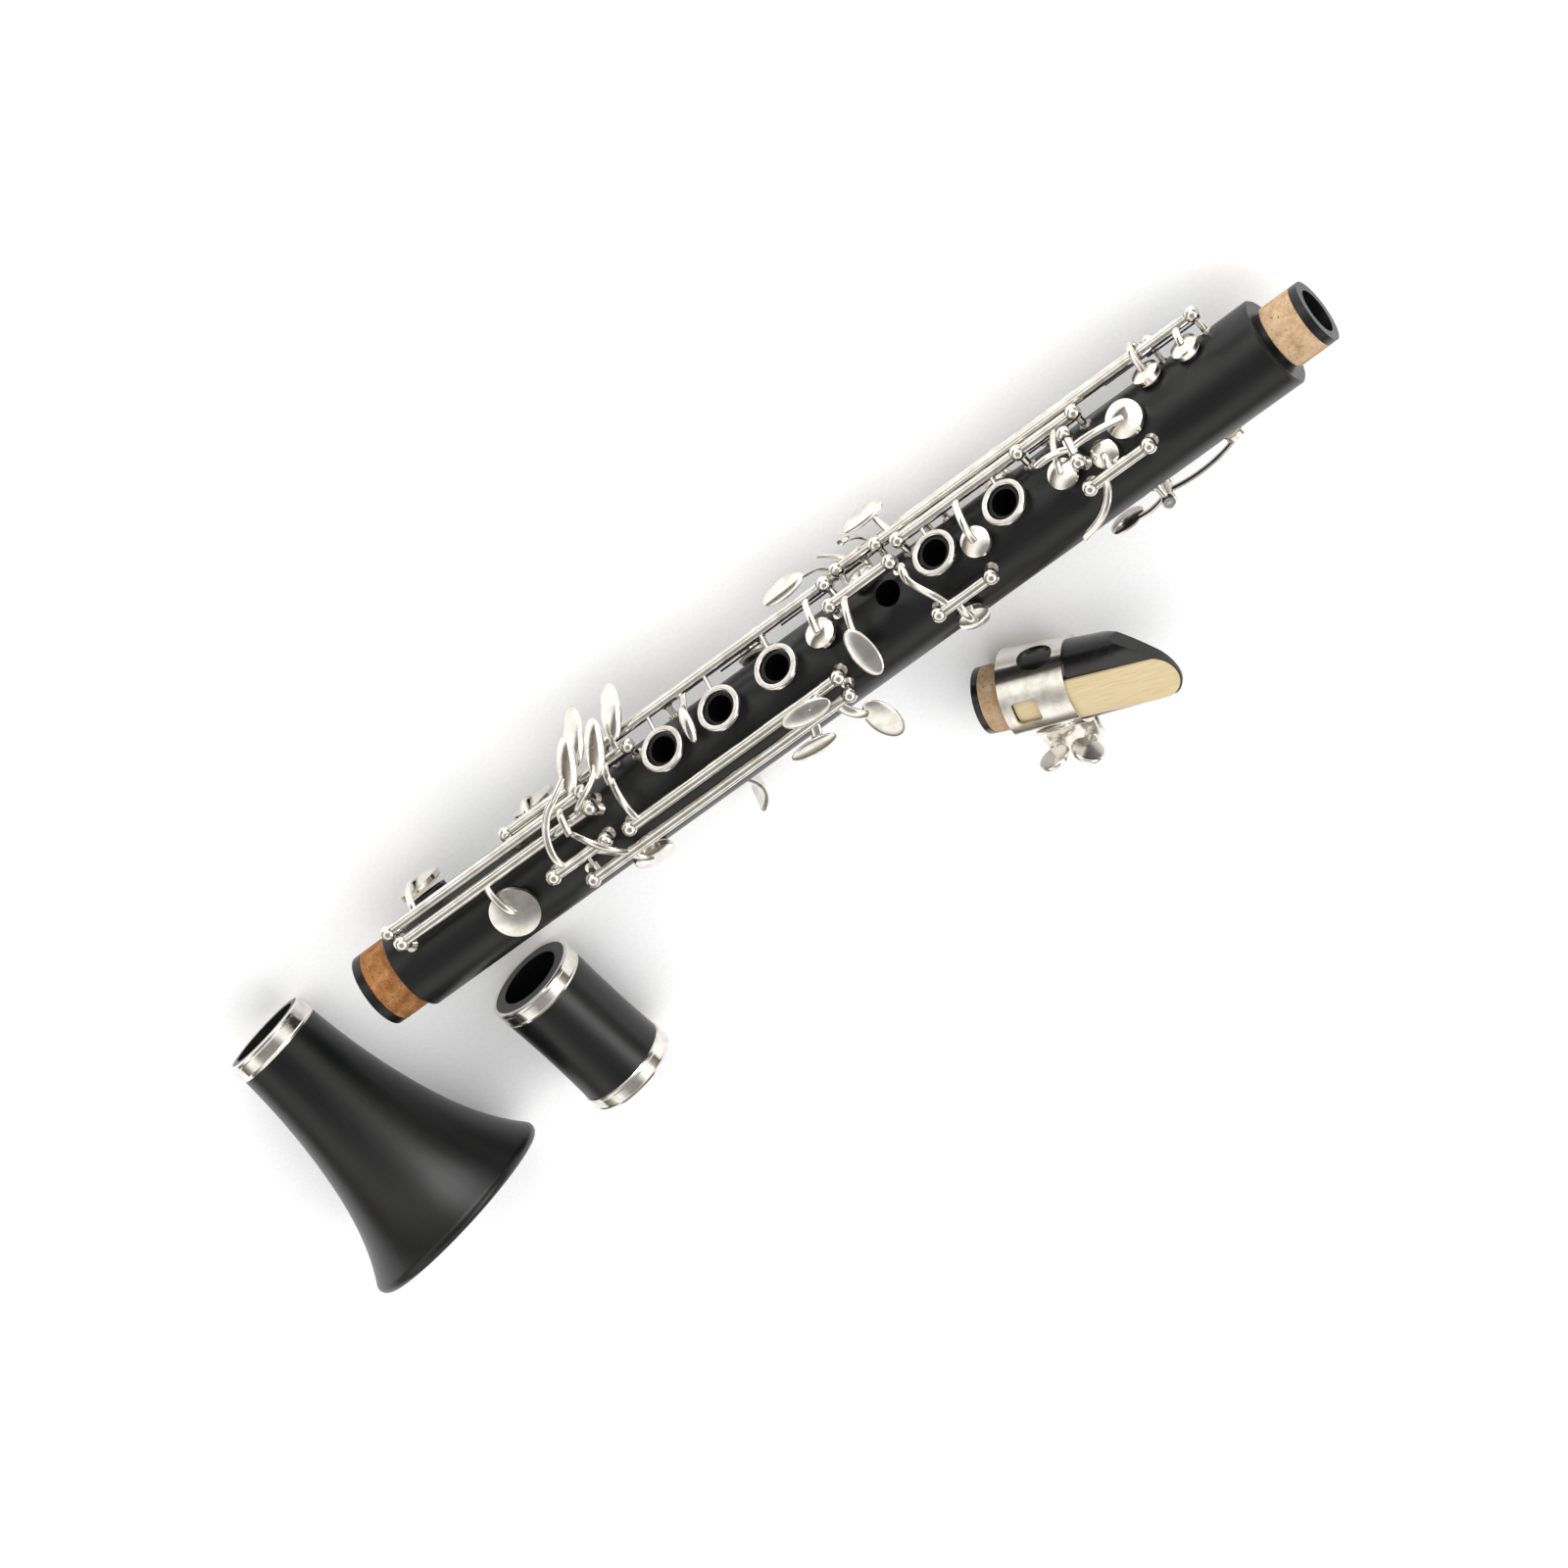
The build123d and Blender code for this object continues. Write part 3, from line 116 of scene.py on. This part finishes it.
# ---------------------------------------------------------------- shader helpers
def fill_ramp(made, stops):
    """Sets a colour ramp's stops from (position, colour) pairs; a plain number is a grey."""
    ramp = made.color_ramp
    while len(ramp.elements) < len(stops):
        ramp.elements.new(0.5)
    for element, (position, colour) in zip(ramp.elements, stops):
        element.position = position
        element.color = (*colour, 1) if hasattr(colour, "__len__") else (colour, colour, colour, 1)


class Shader:
    """A material with one principled surface, and short calls for the nodes that feed it."""

    def __init__(self, name, **surface):
        self.material = bpy.data.materials.new(name)
        self.material.use_nodes = True
        self.nodes = self.material.node_tree.nodes
        self.links = self.material.node_tree.links
        self.surface = self.nodes["Principled BSDF"]
        for socket, value in surface.items():
            self.surface.inputs[socket.replace("_", " ")].default_value = value

    def put(self, source, socket):
        self.links.new(source, self.surface.inputs[socket])

    def node(self, kind, **inputs):
        made = self.nodes.new(kind)
        for socket, value in inputs.items():
            target = made.inputs[socket.replace("_", " ")]
            if hasattr(value, "links"):
                self.links.new(value, target)
            else:
                target.default_value = value
        return made

    def place(self, scale=(1, 1, 1), turn=Matrix.Identity(3)):
        """Coordinates fixed to the piece, turned into its own frame and then scaled along its axes."""
        coordinates = self.nodes.new("ShaderNodeTexCoord").outputs["Object"]
        into = turn.transposed().to_euler()
        turned = self.node("ShaderNodeMapping", Vector=coordinates, Rotation=into)
        return self.node("ShaderNodeMapping", Vector=turned.outputs[0], Scale=scale).outputs[0]

    def noise(self, vector, scale, detail=3.0, roughness=0.5):
        made = self.node("ShaderNodeTexNoise", Vector=vector, Scale=scale, Detail=detail, Roughness=roughness)
        return made.outputs["Fac"]

    def cells(self, vector, scale):
        return self.node("ShaderNodeTexVoronoi", Vector=vector, Scale=scale).outputs["Distance"]

    def ramp(self, value, *stops):
        made = self.node("ShaderNodeValToRGB", Fac=value)
        fill_ramp(made, stops)
        return made.outputs["Color"]

    def mix(self, amount, low, high):
        made = self.nodes.new("ShaderNodeMix")
        made.data_type = "RGBA"
        for socket, value in (("Factor", amount), ("A", low), ("B", high)):
            target = [s for s in made.inputs if s.name == socket and s.enabled][0]
            if hasattr(value, "links"):
                self.links.new(value, target)
            else:
                target.default_value = value
        return [s for s in made.outputs if s.enabled][0]

    def bump(self, height, distance, strength=1.0, below=None):
        made = self.node("ShaderNodeBump", Height=height, Distance=distance, Strength=strength)
        if below:
            self.links.new(below, made.inputs["Normal"])
        return made.outputs[0]


# ---------------------------------------------------------------- materials
def satin_black(name, turn=Matrix.Identity(3)):
    """Fine-grained black with a soft sheen: long shallow streaks along the piece."""
    shader = Shader(name, Specular_IOR_Level=0.42)
    along = shader.place(scale=(1, 26, 26), turn=turn)
    streaks = shader.noise(along, 42.0, detail=6.0, roughness=0.62)
    grain = shader.noise(shader.place(), 5200.0, detail=2.0)
    clouds = shader.noise(shader.place(), 38.0, detail=2.0)
    tone = shader.ramp(streaks, (0.30, (0.0010, 0.0012, 0.0013)), (0.72, (0.0034, 0.0038, 0.0040)))
    shader.put(tone, "Base Color")
    sheen = shader.ramp(clouds, (0.3, 0.32), (0.7, 0.39))
    shader.put(sheen, "Roughness")
    fine = shader.bump(grain, 0.012 * MM, 0.5)
    shader.put(shader.bump(streaks, 0.03 * MM, 0.5, below=fine), "Normal")
    return shader.material


def polished_rubber(name, turn):
    """Black hard rubber, glossier than the joints, with faint turning marks."""
    shader = Shader(name, Specular_IOR_Level=0.50, Coat_Weight=0.20, Coat_Roughness=0.14)
    marks = shader.noise(shader.place(scale=(30, 1, 1), turn=turn), 60.0, detail=3.0)
    smudges = shader.noise(shader.place(), 90.0, detail=4.0)
    tone = shader.ramp(smudges, (0.3, (0.0020, 0.0020, 0.0021)), (0.7, (0.0055, 0.0055, 0.0056)))
    shader.put(tone, "Base Color")
    shader.put(shader.ramp(smudges, (0.35, 0.22), (0.75, 0.36)), "Roughness")
    shader.put(shader.bump(marks, 0.02 * MM, 0.4), "Normal")
    return shader.material


def nickel(name):
    """Bright plate with slight yellowing, hand-polished unevenness and tiny scratches."""
    shader = Shader(name, Metallic=1.0)
    blotches = shader.noise(shader.place(), 260.0, detail=4.0)
    shader.put(shader.ramp(blotches, (0.25, (0.62, 0.58, 0.51)), (0.60, (0.84, 0.81, 0.76))), "Base Color")
    slant = Matrix.Rotation(0.5, 3, "Z")
    scratches = shader.noise(shader.place(scale=(1, 9, 5), turn=slant), 900.0, detail=5.0, roughness=0.7)
    shader.put(shader.ramp(scratches, (0.35, 0.11), (0.75, 0.24)), "Roughness")
    waves = shader.noise(shader.place(), 420.0, detail=1.0)
    shader.put(shader.bump(waves, 0.02 * MM, 0.6), "Normal")
    return shader.material


def ground_steel(name):
    """Dull steel with turning rings, for screws and rods."""
    shader = Shader(name, Metallic=1.0)
    rings = shader.noise(shader.place(scale=(40, 1, 1)), 160.0, detail=3.0)
    shader.put(shader.ramp(rings, (0.3, (0.42, 0.41, 0.40)), (0.7, (0.60, 0.60, 0.60))), "Base Color")
    shader.put(shader.ramp(rings, (0.3, 0.24), (0.7, 0.40)), "Roughness")
    return shader.material


def blued_steel(name):
    """Heat-blued steel, for the needle springs."""
    shader = Shader(name, Metallic=1.0)
    heat = shader.noise(shader.place(), 150.0, detail=2.0)
    shader.put(shader.ramp(heat, (0.3, (0.03, 0.05, 0.16)), (0.7, (0.12, 0.07, 0.10))), "Base Color")
    shader.put(shader.ramp(heat, (0.3, 0.22), (0.7, 0.34)), "Roughness")
    return shader.material


def cork_material(name, deep, middle, pale, pit):
    """Sanded cork: three tones of cells, dark pits and an open-grained surface."""
    shader = Shader(name, Roughness=0.82, Specular_IOR_Level=0.25)
    place = shader.place()
    body = shader.noise(place, 330.0, detail=5.0, roughness=0.6)
    pits = shader.cells(place, 780.0)
    pores = shader.noise(place, 1500.0, detail=3.0)
    tan = shader.ramp(body, (0.28, deep), (0.50, middle), (0.74, pale))
    dark = shader.ramp(pores, (0.60, 0.0), (0.72, 1.0))
    shader.put(shader.mix(dark, tan, (*pit, 1)), "Base Color")
    coarse = shader.bump(pits, 0.10 * MM, 0.5)
    shader.put(shader.bump(pores, 0.08 * MM, 0.6, below=coarse), "Normal")
    return shader.material


def cane_material(name, turn):
    """Pale cane with fine fibres along its length."""
    shader = Shader(name, Roughness=0.55, Specular_IOR_Level=0.35, Subsurface_Weight=0.12)
    shader.surface.inputs["Subsurface Radius"].default_value = (0.002, 0.0012, 0.0006)
    fibres = shader.noise(shader.place(scale=(1, 34, 10), turn=turn), 90.0, detail=5.0, roughness=0.65)
    clouds = shader.noise(shader.place(), 75.0, detail=2.0)
    straw, cream, light = (0.45, 0.34, 0.175), (0.54, 0.44, 0.265), (0.60, 0.51, 0.34)
    pale = shader.ramp(fibres, (0.28, straw), (0.52, cream), (0.78, light))
    warm = shader.ramp(clouds, (0.45, 0.0), (0.75, 0.35))
    shader.put(shader.mix(warm, pale, (0.51, 0.385, 0.20, 1)), "Base Color")
    shader.put(shader.bump(fibres, 0.05 * MM, 0.5), "Normal")
    return shader.material


def pad_material(name):
    """Pale fine-grained skin over a felt core."""
    shader = Shader(name, Roughness=0.62, Specular_IOR_Level=0.35, Sheen_Weight=0.25)
    place = shader.place()
    skin = shader.cells(place, 2600.0)
    stain = shader.noise(place, 420.0, detail=4.0)
    shader.put(shader.ramp(stain, (0.3, (0.62, 0.50, 0.32)), (0.7, (0.80, 0.70, 0.52))), "Base Color")
    shader.put(shader.bump(skin, 0.03 * MM, 0.5), "Normal")
    return shader.material


def floor_material(name):
    """Matt pale card."""
    shader = Shader(name, Roughness=0.85, Specular_IOR_Level=0.1)
    fibre = shader.noise(shader.place(), 900.0, detail=3.0)
    shader.put(shader.ramp(fibre, (0.3, (0.86, 0.86, 0.86)), (0.7, (0.90, 0.90, 0.90))), "Base Color")
    return shader.material


def frame_along(axis, up=Vector((0, 0, 1))):
    """A turn whose +X runs along an axis and whose +Z stays as near to up as it can."""
    forward = Vector(axis).normalized()
    side = up.cross(forward).normalized()
    return Matrix((forward, side, forward.cross(side))).transposed()


MOUTHPIECE_TURN = frame_along(
    -Vector(MOUNTS["mouthpiece_tenon"]["axis"]), Vector(JOINTS["ligature_screw_1_turn"]["axis"])
)
MATERIALS = {
    "body_joint": satin_black("joint_black"),
    "barrel": satin_black("barrel_black", frame_along(MOUNTS["barrel_socket_far"]["axis"])),
    "bell": satin_black("bell_black", frame_along(MOUNTS["bell_socket"]["axis"])),
    "mouthpiece": polished_rubber("mouthpiece_black", MOUTHPIECE_TURN),
    "silver": nickel("nickel_plate"),
    "steel": ground_steel("ground_steel"),
    "spring_blue": blued_steel("blued_steel"),
    "lower_tenon_cork": cork_material(
        "worn_cork", (0.14, 0.050, 0.012), (0.25, 0.105, 0.030), (0.37, 0.185, 0.075), (0.060, 0.022, 0.008)
    ),
    "cork": cork_material(
        "pale_cork", (0.29, 0.175, 0.092), (0.42, 0.285, 0.165), (0.52, 0.385, 0.240), (0.16, 0.085, 0.040)
    ),
    "cane": cane_material("cane", MOUTHPIECE_TURN),
    "key_pad": pad_material("pad_skin"),
    "floor": floor_material("pale_card"),
}


def dress_frame():
    """Every CAD node that stays gets the material of its slot, or one of its own."""
    for part in frame["record"]["subparts"]:
        node = part["node"]
        material = MATERIALS.get(node) or MATERIALS[part["material_slot"]]
        mesh = NODES[node].data
        mesh.materials.clear()
        mesh.materials.append(material)


# ---------------------------------------------------------------- mesh helpers
def points_of(node):
    """A CAD node's vertices as rows of x, y, z."""
    mesh = NODES[node].data
    flat = np.zeros(len(mesh.vertices) * 3)
    mesh.vertices.foreach_get("co", flat)
    return flat.reshape(-1, 3)


def round_frame(node, axis=None):
    """(centre, axis, radius, half thickness) of a round node, from its own vertices."""
    points = points_of(node)
    middle = points.mean(0)
    if axis is None:
        spread = np.linalg.eigh(np.cov((points - middle).T))
        axis = spread[1][:, 0]
    axis = np.array(axis) / np.linalg.norm(axis)
    height = (points - middle) @ axis
    radial = points - middle - np.outer(height, axis)
    centre = middle + axis * (height.max() + height.min()) / 2
    radius = float(np.linalg.norm(radial, axis=1).max())
    return Vector(centre), Vector(axis), radius, float(np.ptp(height)) / 2


def turned(profile, segments):
    """A closed bmesh turned about +Z from a closed loop or an open run that starts and ends on the axis."""
    mesh = bmesh.new()
    rows = []
    for radius, height in profile:
        if radius < 1e-7:
            rows.append([mesh.verts.new((0, 0, height))])
            continue
        row = []
        for step in range(segments):
            angle = 2 * math.pi * step / segments
            row.append(mesh.verts.new((radius * math.cos(angle), radius * math.sin(angle), height)))
        rows.append(row)
    closed = len(rows[0]) > 1
    pairs = list(zip(rows, rows[1:]))
    if closed:
        pairs.append((rows[-1], rows[0]))
    for first, second in pairs:
        for step in range(segments):
            corners = [first[step % len(first)], first[(step + 1) % len(first)]]
            corners += [second[(step + 1) % len(second)], second[step % len(second)]]
            unique = list(dict.fromkeys(corners))
            if len(unique) > 2:
                mesh.faces.new(unique)
    bmesh.ops.recalc_face_normals(mesh, faces=mesh.faces)
    return mesh


def add_piece(name, mesh, matrix, material, node):
    """Turns a bmesh into a piece that stands for one CAD node and rides on its body."""
    data = bpy.data.meshes.new(name)
    mesh.transform(matrix)
    mesh.to_mesh(data)
    mesh.free()
    data.polygons.foreach_set("use_smooth", [True] * len(data.polygons))
    data.materials.append(material)
    piece = bpy.data.objects.new(name, data)
    bpy.context.scene.collection.objects.link(piece)
    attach(piece, BODY_OF_NODE[node])
    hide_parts(node)
    return piece


def standing(centre, axis):
    """The matrix that takes +Z to an axis and the origin to a centre."""
    return Matrix.Translation(centre) @ axis.to_track_quat("Z", "X").to_matrix().to_4x4()


# ---------------------------------------------------------------- pads and corks
def pad_piece(node):
    """A skin-covered pad: crowned face, rolled edge and the ring its seat has pressed into it."""
    centre, axis, radius, half = round_frame(node)
    bore_point = Vector(MOUNTS["upper_tenon"]["pos_m"])
    outwards = Vector((0, centre.y - bore_point.y, centre.z - bore_point.z))
    if axis.dot(outwards) < 0:
        axis = -axis
    seat = radius - PAD_SEAT_INSET
    roll = PAD_ROLL
    profile = [(0, -half + PAD_CROWN)]
    profile += [(seat + out * MM, -half + dent * MM) for out, dent in PAD_SEAT_RING]
    for step in range(PAD_ROLL_STEPS + 1):
        turn = math.pi / 2 * step / PAD_ROLL_STEPS
        profile.append((radius - roll + roll * math.sin(turn), -half + roll - roll * math.cos(turn)))
    profile += [(radius, half), (0, half)]
    mesh = turned(profile, PAD_SEGMENTS)
    add_piece(node + "_skin", mesh, standing(centre, axis), MATERIALS["key_pad"], node)


def cork_piece(node, axis):
    """A sanded cork sleeve with softened edges and an uneven, pitted surface."""
    centre, axis, radius, half = round_frame(node, axis)
    edge = CORK_EDGE
    inner = radius - CORK_THICKNESS
    profile = [(inner, -half), (radius - edge, -half), (radius, -half + edge)]
    for row in range(1, CORK_ROWS):
        profile.append((radius, -half + edge + (2 * half - 2 * edge) * row / CORK_ROWS))
    profile += [(radius, half - edge), (radius - edge, half), (inner, half)]
    mesh = turned(profile, CORK_SEGMENTS)
    for vertex in mesh.verts:
        outer = math.hypot(vertex.co.x, vertex.co.y)
        if outer > radius - 0.01 * MM:
            pits = max(0.0, noise.noise(vertex.co / CORK_PIT_SIZE))
            shrink = 1 - CORK_PIT_DEPTH * pits / outer
            vertex.co.x *= shrink
            vertex.co.y *= shrink
    material = MATERIALS.get(node) or MATERIALS["cork"]
    add_piece(node + "_sleeve", mesh, standing(centre, axis), material, node)


def make_pads_and_corks():
    """A skin for every pad node and a sleeve for each of the three corks."""
    for part in frame["record"]["subparts"]:
        if part["material_slot"] == "key_pad":
            pad_piece(part["node"])
    cork_piece("upper_tenon_cork", MOUNTS["upper_tenon"]["axis"])
    cork_piece("lower_tenon_cork", MOUNTS["lower_tenon"]["axis"])
    cork_piece("mouthpiece_cork", MOUNTS["mouthpiece_tenon"]["axis"])


# ---------------------------------------------------------------- reed
def reed_tip(y, half_width, length):
    """How far along the reed its rounded tip reaches at a distance from the middle."""
    depth = REED_TIP_DEPTH * half_width
    radius = (half_width**2 + depth**2) / (2 * depth)
    return length - radius + math.sqrt(radius**2 - y**2)


def reed_top(x, y, length, half_width, bark_radius, table):
    """The height of the upper face: round bark, then a U-shaped cut, then a blade thinned to its tip."""
    heel = REED_HEEL_SHARE * length
    side_share = abs(y) / half_width
    reach = x - heel + REED_CUT_CURVE * side_share**2
    run = min(1.0, max(0.0, reach) / (length - heel))
    sides = 1 - REED_FALL_AT_SIDES * side_share**2
    fall = (bark_radius - table - REED_TIP_THICKNESS) * run**REED_FALL_POWER * sides
    crown = REED_CROWN * (1 - side_share**2) * math.sin(math.pi * run)
    cut = bark_radius - fall + crown - REED_CUT_STEP * (run > 0)
    bark = math.sqrt(bark_radius**2 - y**2)
    return min(bark, max(cut, table + REED_TIP_THICKNESS))


def reed_piece():
    """The cane reed, as a fine grid over the CAD reed's own length, width and height."""
    turn = MOUTHPIECE_TURN
    origin = Vector(MOUNTS["mouthpiece_tenon"]["pos_m"])
    points = (points_of("reed") - np.array(origin)) @ np.array(turn)
    low = points.min(0)
    high = points.max(0)
    length = high[0] - low[0]
    half_width = (high[1] - low[1]) / 2
    middle = (high[1] + low[1]) / 2
    columns, across = REED_COLUMNS, REED_ACROSS
    straight = REED_STRAIGHT_SHARE
    mesh = bmesh.new()
    tops, bottoms = [], []
    for column in range(columns + 1):
        share = column / columns
        width = half_width * (REED_HEEL_WIDTH + REED_WIDENING * min(1.0, share / straight))
        top_row, bottom_row = [], []
        for step in range(across + 1):
            y = width * (2 * step / across - 1)
            x = share * length
            if share > straight:
                end = reed_tip(y, half_width, length)
                x = length * straight + (end - length * straight) * (share - straight) / (1 - straight)
            top = reed_top(x, y, length, half_width, high[2], low[2])
            top_row.append(mesh.verts.new((low[0] + x, middle + y, top)))
            bottom_row.append(mesh.verts.new((low[0] + x, middle + y, low[2])))
        tops.append(top_row)
        bottoms.append(bottom_row)
    for column in range(columns):
        upper, upper_next = tops[column], tops[column + 1]
        lower, lower_next = bottoms[column], bottoms[column + 1]
        for step in range(across):
            mesh.faces.new((upper[step], upper_next[step], upper_next[step + 1], upper[step + 1]))
            mesh.faces.new((lower[step], lower[step + 1], lower_next[step + 1], lower_next[step]))
        for edge in (0, across):
            mesh.faces.new((upper[edge], lower[edge], lower_next[edge], upper_next[edge]))
    for upper, lower in ((tops[0], bottoms[0]), (tops[-1], bottoms[-1])):
        for step in range(across):
            mesh.faces.new((upper[step], upper[step + 1], lower[step + 1], lower[step]))
    bmesh.ops.recalc_face_normals(mesh, faces=mesh.faces)
    place = Matrix.Translation(origin) @ turn.to_4x4()
    piece = add_piece("cane_reed", mesh, place, MATERIALS["cane"], "reed")
    piece.data.set_sharp_from_angle(angle=REED_CREASE)


# ---------------------------------------------------------------- stage
def make_floor():
    """A flat sheet at the part's lowest level, for staging only."""
    data = bpy.data.meshes.new("floor")
    reach = FLOOR_REACH
    corners = [(-reach, -reach), (reach, -reach), (reach, reach), (-reach, reach)]
    data.from_pydata([(x, y, LOW.z) for x, y in corners], [], [(0, 1, 2, 3)])
    data.materials.append(MATERIALS["floor"])
    floor = bpy.data.objects.new("floor", data)
    bpy.context.scene.collection.objects.link(floor)


def area_light(name, direction, distance, size, power):
    """A white rectangular light that faces the part from a direction."""
    data = bpy.data.lights.new(name, "AREA")
    data.shape = "RECTANGLE"
    data.size, data.size_y = size
    data.energy = power
    light = bpy.data.objects.new(name, data)
    light.location = CENTRE + direction.normalized() * distance
    light.rotation_euler = direction.to_track_quat("Z", "Y").to_euler()
    bpy.context.scene.collection.objects.link(light)


def sky_ramp(nodes, height, stops):
    """A colour by height above the horizon, from (height, colour) stops."""
    made = nodes.new("ShaderNodeValToRGB")
    fill_ramp(made, stops)
    made.id_data.links.new(height, made.inputs[0])
    return made.outputs[0]


def make_room():
    """A pale room for the light it sheds, and a darker one with bands for polished metal to mirror."""
    world = bpy.data.worlds.new("room")
    world.use_nodes = True
    nodes, links = world.node_tree.nodes, world.node_tree.links
    split = nodes.new("ShaderNodeSeparateXYZ")
    links.new(nodes.new("ShaderNodeTexCoord").outputs["Generated"], split.inputs[0])
    height = split.outputs["Z"]
    pale = sky_ramp(nodes, height, ((0.0, (0.80, 0.79, 0.78)), (0.75, (0.98, 0.98, 0.98))))
    horizon, low_grey = (0.05, 0.04, 0.03), (0.30, 0.27, 0.23)
    bright, overhead = (0.92, 0.91, 0.88), (0.24, 0.24, 0.24)
    banded = sky_ramp(
        nodes, height, ((0.05, horizon), (0.32, low_grey), (0.50, bright), (0.72, bright), (0.90, overhead))
    )
    mix = nodes.new("ShaderNodeMix")
    mix.data_type = "RGBA"
    colours = [socket for socket in mix.inputs if socket.type == "RGBA"]
    links.new(nodes.new("ShaderNodeLightPath").outputs["Is Glossy Ray"], mix.inputs[0])
    links.new(pale, colours[0])
    links.new(banded, colours[1])
    result = [socket for socket in mix.outputs if socket.type == "RGBA"][0]
    links.new(result, nodes["Background"].inputs["Color"])
    nodes["Background"].inputs["Strength"].default_value = ROOM_STRENGTH
    bpy.context.scene.world = world


def make_lights():
    """A broad key from above the picture's top and a softer fill, in a quiet room."""
    area_light("key", IMAGE_UP * 0.9 + TO_CAMERA * 1.1 - IMAGE_RIGHT * 0.5, 1.5, (0.9, 0.9), KEY_POWER)
    area_light("fill", IMAGE_RIGHT * 1.2 + TO_CAMERA * 0.9 - IMAGE_UP * 0.4, 1.6, (1.0, 0.5), FILL_POWER)
    make_room()
    bpy.context.scene.view_settings.view_transform = "Standard"


def make_camera():
    """The photo's view: a long lens aimed a little off the part's centre."""
    data = bpy.data.cameras.new("camera")
    data.sensor_width = 36.0
    data.lens = data.sensor_width * CAMERA_DISTANCE / VIEW_WIDTH
    data.clip_end = 20.0
    camera = bpy.data.objects.new("camera", data)
    turn = Matrix((IMAGE_RIGHT, IMAGE_UP, TO_CAMERA)).transposed()
    camera.matrix_world = Matrix.Translation(AIM + TO_CAMERA * CAMERA_DISTANCE) @ turn.to_4x4()
    bpy.context.scene.collection.objects.link(camera)
    bpy.context.scene.camera = camera


dress_frame()
make_pads_and_corks()
reed_piece()
make_floor()
make_lights()
make_camera()
